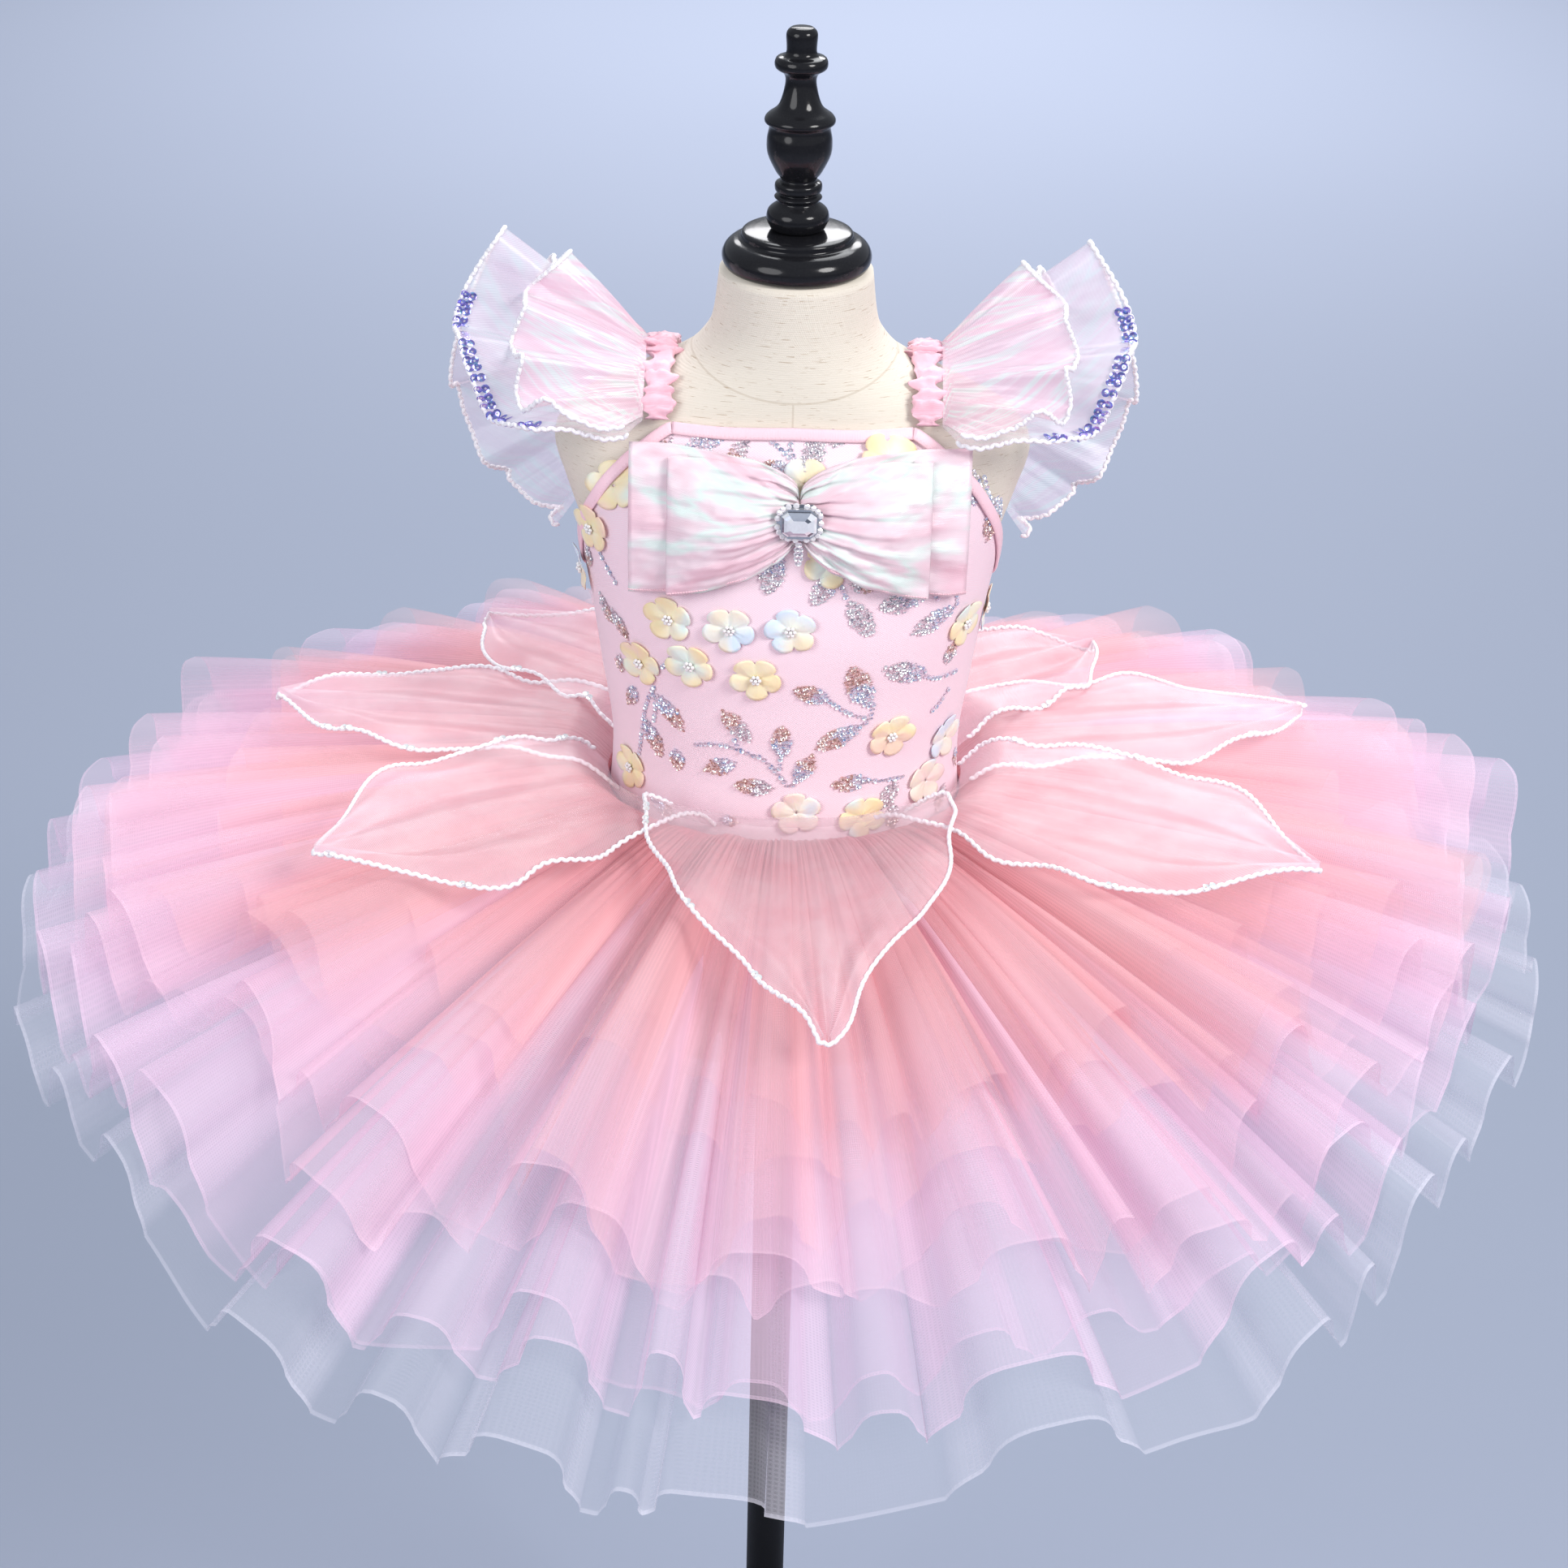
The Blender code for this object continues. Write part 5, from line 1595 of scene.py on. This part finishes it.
def bodice_cloth():
    """Pink stretch cloth under a fine diamond mesh."""
    material, tree, shader = finish_of("bodice_cloth", (0.93, 0.75, 0.83), 0.62, Sheen_Weight=0.35,
                                       Sheen_Roughness=0.4)
    place, u, v = cloth_place(tree)
    lines = []
    for way in ("ADD", "SUBTRACT"):
        slant = worked(tree, way, u, worked(tree, "MULTIPLY", v, 1.35))
        lines.append(worked(tree, "POWER", threads(tree, slant, BODICE_MESH_PITCH), 6.0))
    net = worked(tree, "MAXIMUM", *lines)
    soft = clouds(tree, place, 22.0, 2.0, 0.5)
    base = mixed(tree, soft, (0.96, 0.68, 0.78), (0.98, 0.74, 0.83))
    base = mixed(tree, worked(tree, "MULTIPLY", net, 0.65), base, (0.98, 0.91, 0.95))
    tree.links.new(base, shader.inputs["Base Color"])
    bumped(tree, shader, net, 0.35, 0.0003)
    return material


def satin(name, colour, light, pitch):
    """Ribbed elastic or gathered cloth with a soft sheen."""
    material, tree, shader = finish_of(name, colour, 0.42, Sheen_Weight=0.3, Sheen_Roughness=0.35)
    place, _, v = cloth_place(tree)
    ribs = threads(tree, v, pitch)
    soft = clouds(tree, place, 160.0, 3.0, 0.6)
    tree.links.new(mixed(tree, soft, colour, light), shader.inputs["Base Color"])
    bumped(tree, shader, worked(tree, "ADD", ribs, soft), 0.25, 0.0003)
    return material


def tulle(name, colour, light, cover, pitch, rim, fade, painted_waist_shade):
    """Sheer net: closer where it is gathered to the waist, with its raw edge, the rows of its mesh and
    painted shade near the waist.
    """
    material, tree, shader = finish_of(name, colour, 0.55, Sheen_Weight=0.55, Sheen_Roughness=0.3,
                                       Specular_IOR_Level=0.2)
    shader.inputs["Sheen Tint"].default_value = (*light, 1)
    place, u, v = cloth_place(tree)
    soft = clouds(tree, stretched(tree, place, 14, 5), 1.0, 2.0, 0.5)
    parts = split(tree, object_place(tree))
    squares = [worked(tree, "MULTIPLY", parts[axis], parts[axis]) for axis in "XY"]
    radius = worked(tree, "SQRT", worked(tree, "ADD", *squares))
    gathered = ranged(tree, radius, 0.10, 0.36, 1.9, 1.0)
    # Painted shade: towards the waist the colour is mixed into a darker, redder one, as the deep gaps
    # between layers look.
    painted_shade_share = ranged(tree, radius, 0.11, 0.24, 0.8, 0.0)
    tree.links.new(mixed(tree, painted_shade_share, mixed(tree, soft, colour, light), painted_waist_shade), shader.inputs["Base Color"])
    rows = threads(tree, v, pitch)
    lines = threads(tree, u, pitch)
    mesh = worked(tree, "MULTIPLY_ADD", worked(tree, "MAXIMUM", rows, lines), 0.30, 0.80)
    dense = tree_node(tree, "ShaderNodeAttribute", attribute_name="dense").outputs["Fac"]
    alpha = worked(tree, "MULTIPLY", gathered, dense)
    alpha = worked(tree, "MULTIPLY", alpha, worked(tree, "MULTIPLY", mesh, cover))
    thinner = ranged(tree, v, 0.0, 0.16, fade, 1.0)
    edge = worked(tree, "LESS_THAN", v, 0.0018)
    alpha = worked(tree, "MULTIPLY_ADD", alpha, thinner, worked(tree, "MULTIPLY", edge, rim), clamp=True)
    tree.links.new(alpha, shader.inputs["Alpha"])
    return material


def organza(name, colour, light, cover, iridescence_and_painted_highlight, across=26, along=26, gloss=0.30, knot=None):
    """Crisp sheer organza with streaks along its folds, partly its own iridescent tint and partly painted
    highlights.
    """
    material, tree, shader = finish_of(name, colour, gloss, Sheen_Weight=0.4, Sheen_Roughness=0.25,
                                       Specular_IOR_Level=0.6)
    place, u, v = cloth_place(tree)
    if knot:
        parts = split(tree, object_place(tree))
        out = worked(tree, "ABSOLUTE", worked(tree, "SUBTRACT", parts["X"], knot[0]))
        up = worked(tree, "SUBTRACT", parts["Z"], WAIST_HEIGHT + knot[1])
        fan = worked(tree, "DIVIDE", up, worked(tree, "ADD", out, 0.018))
        place = tree_node(tree, "ShaderNodeCombineXYZ", {"X": fan, "Y": parts["X"]}).outputs["Vector"]
    streaks = clouds(tree, stretched(tree, place, across, along), 1.0, 3.0, 0.55)
    # Painted highlights in part: the streak colour and the lighter bands beside it stand in for light
    # glancing along the folds, over the cloth's own iridescent tint.
    tint = coloured(tree, streaks, (
        (0.40, colour), (0.50, light), (0.56, iridescence_and_painted_highlight), (0.61, light), (0.68, colour)))
    tree.links.new(tint, shader.inputs["Base Color"])
    weave = worked(tree, "MULTIPLY", threads(tree, worked(tree, "ADD", u, v), 0.0009), 0.12)
    alpha = worked(tree, "MULTIPLY_ADD", streaks, 0.16, cover - 0.08)
    alpha = worked(tree, "ADD", alpha, weave, clamp=True)
    tree.links.new(alpha, shader.inputs["Alpha"])
    bumped(tree, shader, clouds(tree, stretched(tree, place, 240, 60), 1.0, 3.0, 0.6), 0.35, 0.0008)
    return material


def cord(name, colour, shade):
    """Thick thread with a soft lustre."""
    material, tree, shader = finish_of(name, colour, 0.45, Sheen_Weight=0.4)
    place = object_place(tree)
    mottled = mixed(tree, clouds(tree, place, 420.0, 2.0, 0.6), shade, colour)
    tree.links.new(mottled, shader.inputs["Base Color"])
    bumped(tree, shader, clouds(tree, place, 1500.0, 2.0, 0.6), 0.4, 0.0002)
    return material


def sequin(name, stops, metallic, roughness=0.18):
    """Bright plastic film in the colours that its coating shows from piece to piece."""
    material, tree, shader = finish_of(name, stops[0], roughness, Metallic=metallic, Coat_Weight=0.6,
                                       Coat_Roughness=0.05)
    patches = clouds(tree, object_place(tree), 620.0, 1.0, 0.5)
    span = len(stops) - 1
    ramp = [(0.30 + 0.40 * index / span, colour) for index, colour in enumerate(stops)]
    tree.links.new(coloured(tree, patches, ramp), shader.inputs["Base Color"])
    wear = clouds(tree, object_place(tree), 90.0, 2.0, 0.5)
    worn = worked(tree, "MULTIPLY_ADD", wear, 0.16, roughness - 0.06)
    tree.links.new(worn, shader.inputs["Roughness"])
    return material


def petal_cloth(name, stops):
    """Thin heat-set cloth, dyed unevenly."""
    material, tree, shader = finish_of(name, stops[0], 0.6, Sheen_Weight=0.35, Subsurface_Weight=0.15,
                                       Subsurface_Scale=0.002)
    place = object_place(tree)
    dye = clouds(tree, place, 44.0, 1.0, 0.5)
    span = len(stops) - 1
    ramp = [(0.34 + 0.32 * index / span, colour) for index, colour in enumerate(stops)]
    tree.links.new(coloured(tree, dye, ramp), shader.inputs["Base Color"])
    bumped(tree, shader, clouds(tree, place, 900.0, 3.0, 0.6), 0.3, 0.0003)
    return material


def metal_or_stone(name, colour, metallic, roughness, **sockets):
    """Polished silver or cut glass with a trace of wear."""
    material, tree, shader = finish_of(name, colour, roughness, Metallic=metallic, **sockets)
    place = object_place(tree)
    shade = mixed(tree, clouds(tree, place, 700.0, 2.0, 0.5), [0.82 * part for part in colour], colour)
    tree.links.new(shade, shader.inputs["Base Color"])
    worn = worked(tree, "MULTIPLY_ADD", clouds(tree, place, 300.0, 2.0, 0.5), 0.06, roughness)
    tree.links.new(worn, shader.inputs["Roughness"])
    return material


def pale_floor():
    """A plain pale floor."""
    material, tree, shader = finish_of("floor", (0.38, 0.42, 0.56), 0.9, Specular_IOR_Level=0.1)
    soft = clouds(tree, object_place(tree), 0.5, 2.0, 0.5)
    shade = mixed(tree, soft, (0.285, 0.32, 0.405), (0.31, 0.345, 0.43))
    tree.links.new(shade, shader.inputs["Base Color"])
    return material


def make_floor():
    """The floor that the base stands on."""
    build = bmesh.new()
    bmesh.ops.create_grid(build, x_segments=1, y_segments=1, size=60)
    floor = new_object("floor", bare_mesh("floor", build))
    floor.data.materials.append(pale_floor())


def make_camera():
    """The photograph's view: from above the front, a little turned."""
    place, right, up, back = camera_axes()
    camera = bpy.data.cameras.new("camera")
    camera.sensor_width = SENSOR
    camera.lens = SENSOR * PIXELS_PER_METRE * CAMERA_DISTANCE / IMAGE_SIZE
    camera.shift_x = (0.5 * IMAGE_SIZE - WAIST_PIXEL[0]) / IMAGE_SIZE
    camera.shift_y = (WAIST_PIXEL[1] - 0.5 * IMAGE_SIZE) / IMAGE_SIZE
    camera.clip_end = 100
    obj = new_object("camera", camera)
    level = Matrix((right, up, back)).transposed().to_4x4()
    obj.matrix_world = Matrix.Translation(place) @ level @ Matrix.Rotation(CAMERA_ROLL, 4, "Z")
    bpy.context.scene.camera = obj


def soft_light(name, place, size, power, colour, target=(0, 0, WAIST_HEIGHT)):
    """A big soft lamp that faces the dress or another place."""
    light = bpy.data.lights.new(name, "AREA")
    light.shape = "DISK"
    light.size = size
    light.energy = power
    light.color = colour
    obj = new_object(name, light)
    obj.location = place
    aim = Vector(target) - Vector(place)
    obj.rotation_euler = aim.to_track_quat("-Z", "Y").to_euler()


def make_lights():
    """Soft studio light, strongest from the upper right of the picture."""
    soft_light("key", (1.9, -1.5, 2.7), 1.2, 70, (1.0, 0.98, 0.97))
    soft_light("fill", (-1.9, -2.1, 2.2), 2.0, 48, (0.98, 0.98, 1.0))
    soft_light("top", (0.3, 1.3, 2.8), 1.6, 34, (0.96, 0.98, 1.0))
    soft_light("far_floor", (0.3, 5.2, 3.2), 3.4, 230, (0.99, 0.98, 1.0), (0.2, 5.4, 0.0))
    world = bpy.data.worlds.new("studio")
    world.use_nodes = True
    world.node_tree.nodes["Background"].inputs["Color"].default_value = (0.80, 0.86, 0.97, 1)
    world.node_tree.nodes["Background"].inputs["Strength"].default_value = 0.46
    bpy.context.scene.world = world


SCATTER = scatter_tree()
STITCHING = stitch_tree()
SEQUIN = sequin_shape()
STITCH = bead_shape("stitch_shape", 6, 5, 1.9)
BEAD = bead_shape("bead_shape", 8, 6)
GEM = gem_shape()

LINEN = linen()
GLOSS_BLACK = lacquer("gloss_black", 0.14, 0.22)
SATIN_BLACK = lacquer("satin_black", 0.6, 0.0)
BODICE_CLOTH = bodice_cloth()
BINDING = satin("binding", (0.94, 0.60, 0.68), (0.96, 0.68, 0.75), 0.0008)
RUCHED = satin("ruched_strap", (0.82, 0.40, 0.50), (0.92, 0.60, 0.68), 0.0009)
PINK_THREAD = cord("pink_thread", (0.95, 0.66, 0.72), (0.86, 0.52, 0.60))
WHITE_CORD = cord("white_cord", (0.95, 0.94, 0.96), (0.86, 0.83, 0.88))
# The last colour of each tulle is the painted shade that it takes on towards the waist.
WHITE_NET = tulle(
    "white_net", (0.76, 0.74, 0.86), (0.86, 0.84, 0.93), cover=0.30, pitch=0.0018, rim=0.16, fade=0.9,
    painted_waist_shade=(0.84, 0.74, 0.84))
PALE_TULLE = tulle(
    "pale_pink_tulle", (0.89, 0.62, 0.81), (0.94, 0.72, 0.87), cover=0.44, pitch=0.0013, rim=0.12,
    fade=0.85, painted_waist_shade=(0.93, 0.56, 0.68))
LILAC_TULLE = tulle(
    "lilac_pink_tulle", (0.95, 0.60, 0.75), (0.97, 0.70, 0.82), cover=0.44, pitch=0.0013, rim=0.06,
    fade=0.75, painted_waist_shade=(0.94, 0.46, 0.56))
CORAL_TULLE = tulle(
    "coral_tulle", (0.99, 0.56, 0.58), (0.99, 0.63, 0.66), cover=0.40, pitch=0.0013, rim=0.02, fade=0.45,
    painted_waist_shade=(0.93, 0.36, 0.40))
# The fourth colour of each organza is partly its iridescent tint and partly a painted highlight in its
# streaks.
PETAL_ORGANZA = organza("petal_organza", (0.96, 0.73, 0.81), (0.97, 0.79, 0.86), 0.24, (0.98, 0.84, 0.90))
SHEER_ORGANZA = organza(
    "sheer_organza", (0.94, 0.75, 0.87), (0.96, 0.84, 0.92), 0.30, (0.86, 0.93, 0.95), 50, 14, 0.26)
WING_ORGANZA = organza(
    "wing_organza", (0.97, 0.62, 0.74), (0.98, 0.72, 0.82), 0.44, (0.84, 0.97, 0.92), 90, 10, 0.22)
IRIDESCENT = organza(
    "iridescent_organza", (0.98, 0.68, 0.77), (0.99, 0.82, 0.88), 0.70, (0.86, 0.99, 0.94), 3.0, 15, 0.2,
    BOW_CENTRE)
YELLOW_CLOTH = petal_cloth(
    "yellow_cloth", ((0.97, 0.70, 0.54), (0.97, 0.78, 0.46), (0.97, 0.84, 0.60), (0.78, 0.88, 0.82)))
BLUE_CLOTH = petal_cloth(
    "blue_cloth", ((0.95, 0.78, 0.54), (0.95, 0.84, 0.68), (0.86, 0.88, 0.86), (0.68, 0.80, 0.92)))
BLUSH_CLOTH = petal_cloth(
    "blush_cloth", ((0.95, 0.68, 0.66), (0.94, 0.80, 0.68), (0.93, 0.84, 0.74), (0.72, 0.78, 0.88)))
SILVER = metal_or_stone("silver", (0.86, 0.85, 0.86), 1.0, 0.14)
STONE_COAT = dict(Coat_Weight=1.0, Coat_Roughness=0.02)
STONE = metal_or_stone("stone", (0.52, 0.56, 0.66), 0.5, 0.04, **STONE_COAT)
# Lit and dark copies of the stone's material: painted glints and painted dark reflections on its facets.
STONE_PAINTED_GLINT = metal_or_stone("stone_painted_glint", (0.90, 0.92, 0.97), 0.3, 0.04, **STONE_COAT)
STONE_PAINTED_DARK = metal_or_stone("stone_painted_dark", (0.16, 0.18, 0.24), 0.6, 0.04, **STONE_COAT)
CLEAR_STONE = metal_or_stone(
    "clear_stone", (0.92, 0.90, 0.93), 0.2, 0.08, Coat_Weight=1.0, Coat_Roughness=0.03)
PEARL = metal_or_stone("pearl_bead", (0.97, 0.95, 0.94), 0.0, 0.12, Coat_Weight=0.8)
ROSE_SEQUIN = sequin("rose_sequin", ((0.36, 0.19, 0.15), (0.80, 0.54, 0.48), (0.97, 0.92, 0.93)), 0.45)
SILVER_SEQUIN = sequin("silver_sequin", ((0.32, 0.30, 0.38), (0.97, 0.96, 0.98), (0.60, 0.50, 0.58)), 0.5)
LILAC_SEQUIN = sequin("lilac_sequin", ((0.24, 0.36, 0.64), (0.88, 0.92, 0.98), (0.60, 0.50, 0.68)), 0.5)
BLUE_SEQUIN = sequin("blue_sequin", ((0.20, 0.34, 0.86), (0.36, 0.24, 0.74), (0.30, 0.58, 0.88)), 0.85)
PEARL_SEQUIN = sequin("pearl_sequin", ((0.96, 0.88, 0.86), (0.84, 0.92, 0.96), (0.98, 0.95, 0.84)), 0.4)
# The corded edge of petals and wings: long stitches that lean one way and the other
CORD = dict(Pitch=0.0025, Size=0.00125, Lean=0.5, Material=WHITE_CORD)

make_stand()
make_form()
make_bodice()
make_bindings()
make_straps()
make_skirt()
make_petals()
make_wings()
make_bow()
make_brooch()
make_flowers()
make_sequins()
# The small shapes have been copied and may go
for shape in (SEQUIN, STITCH, BEAD, GEM):
    bpy.data.objects.remove(shape)
make_floor()
make_camera()
make_lights()
bpy.context.scene.cycles.transparent_max_bounces = 64
bpy.context.scene.view_settings.view_transform = "Standard"
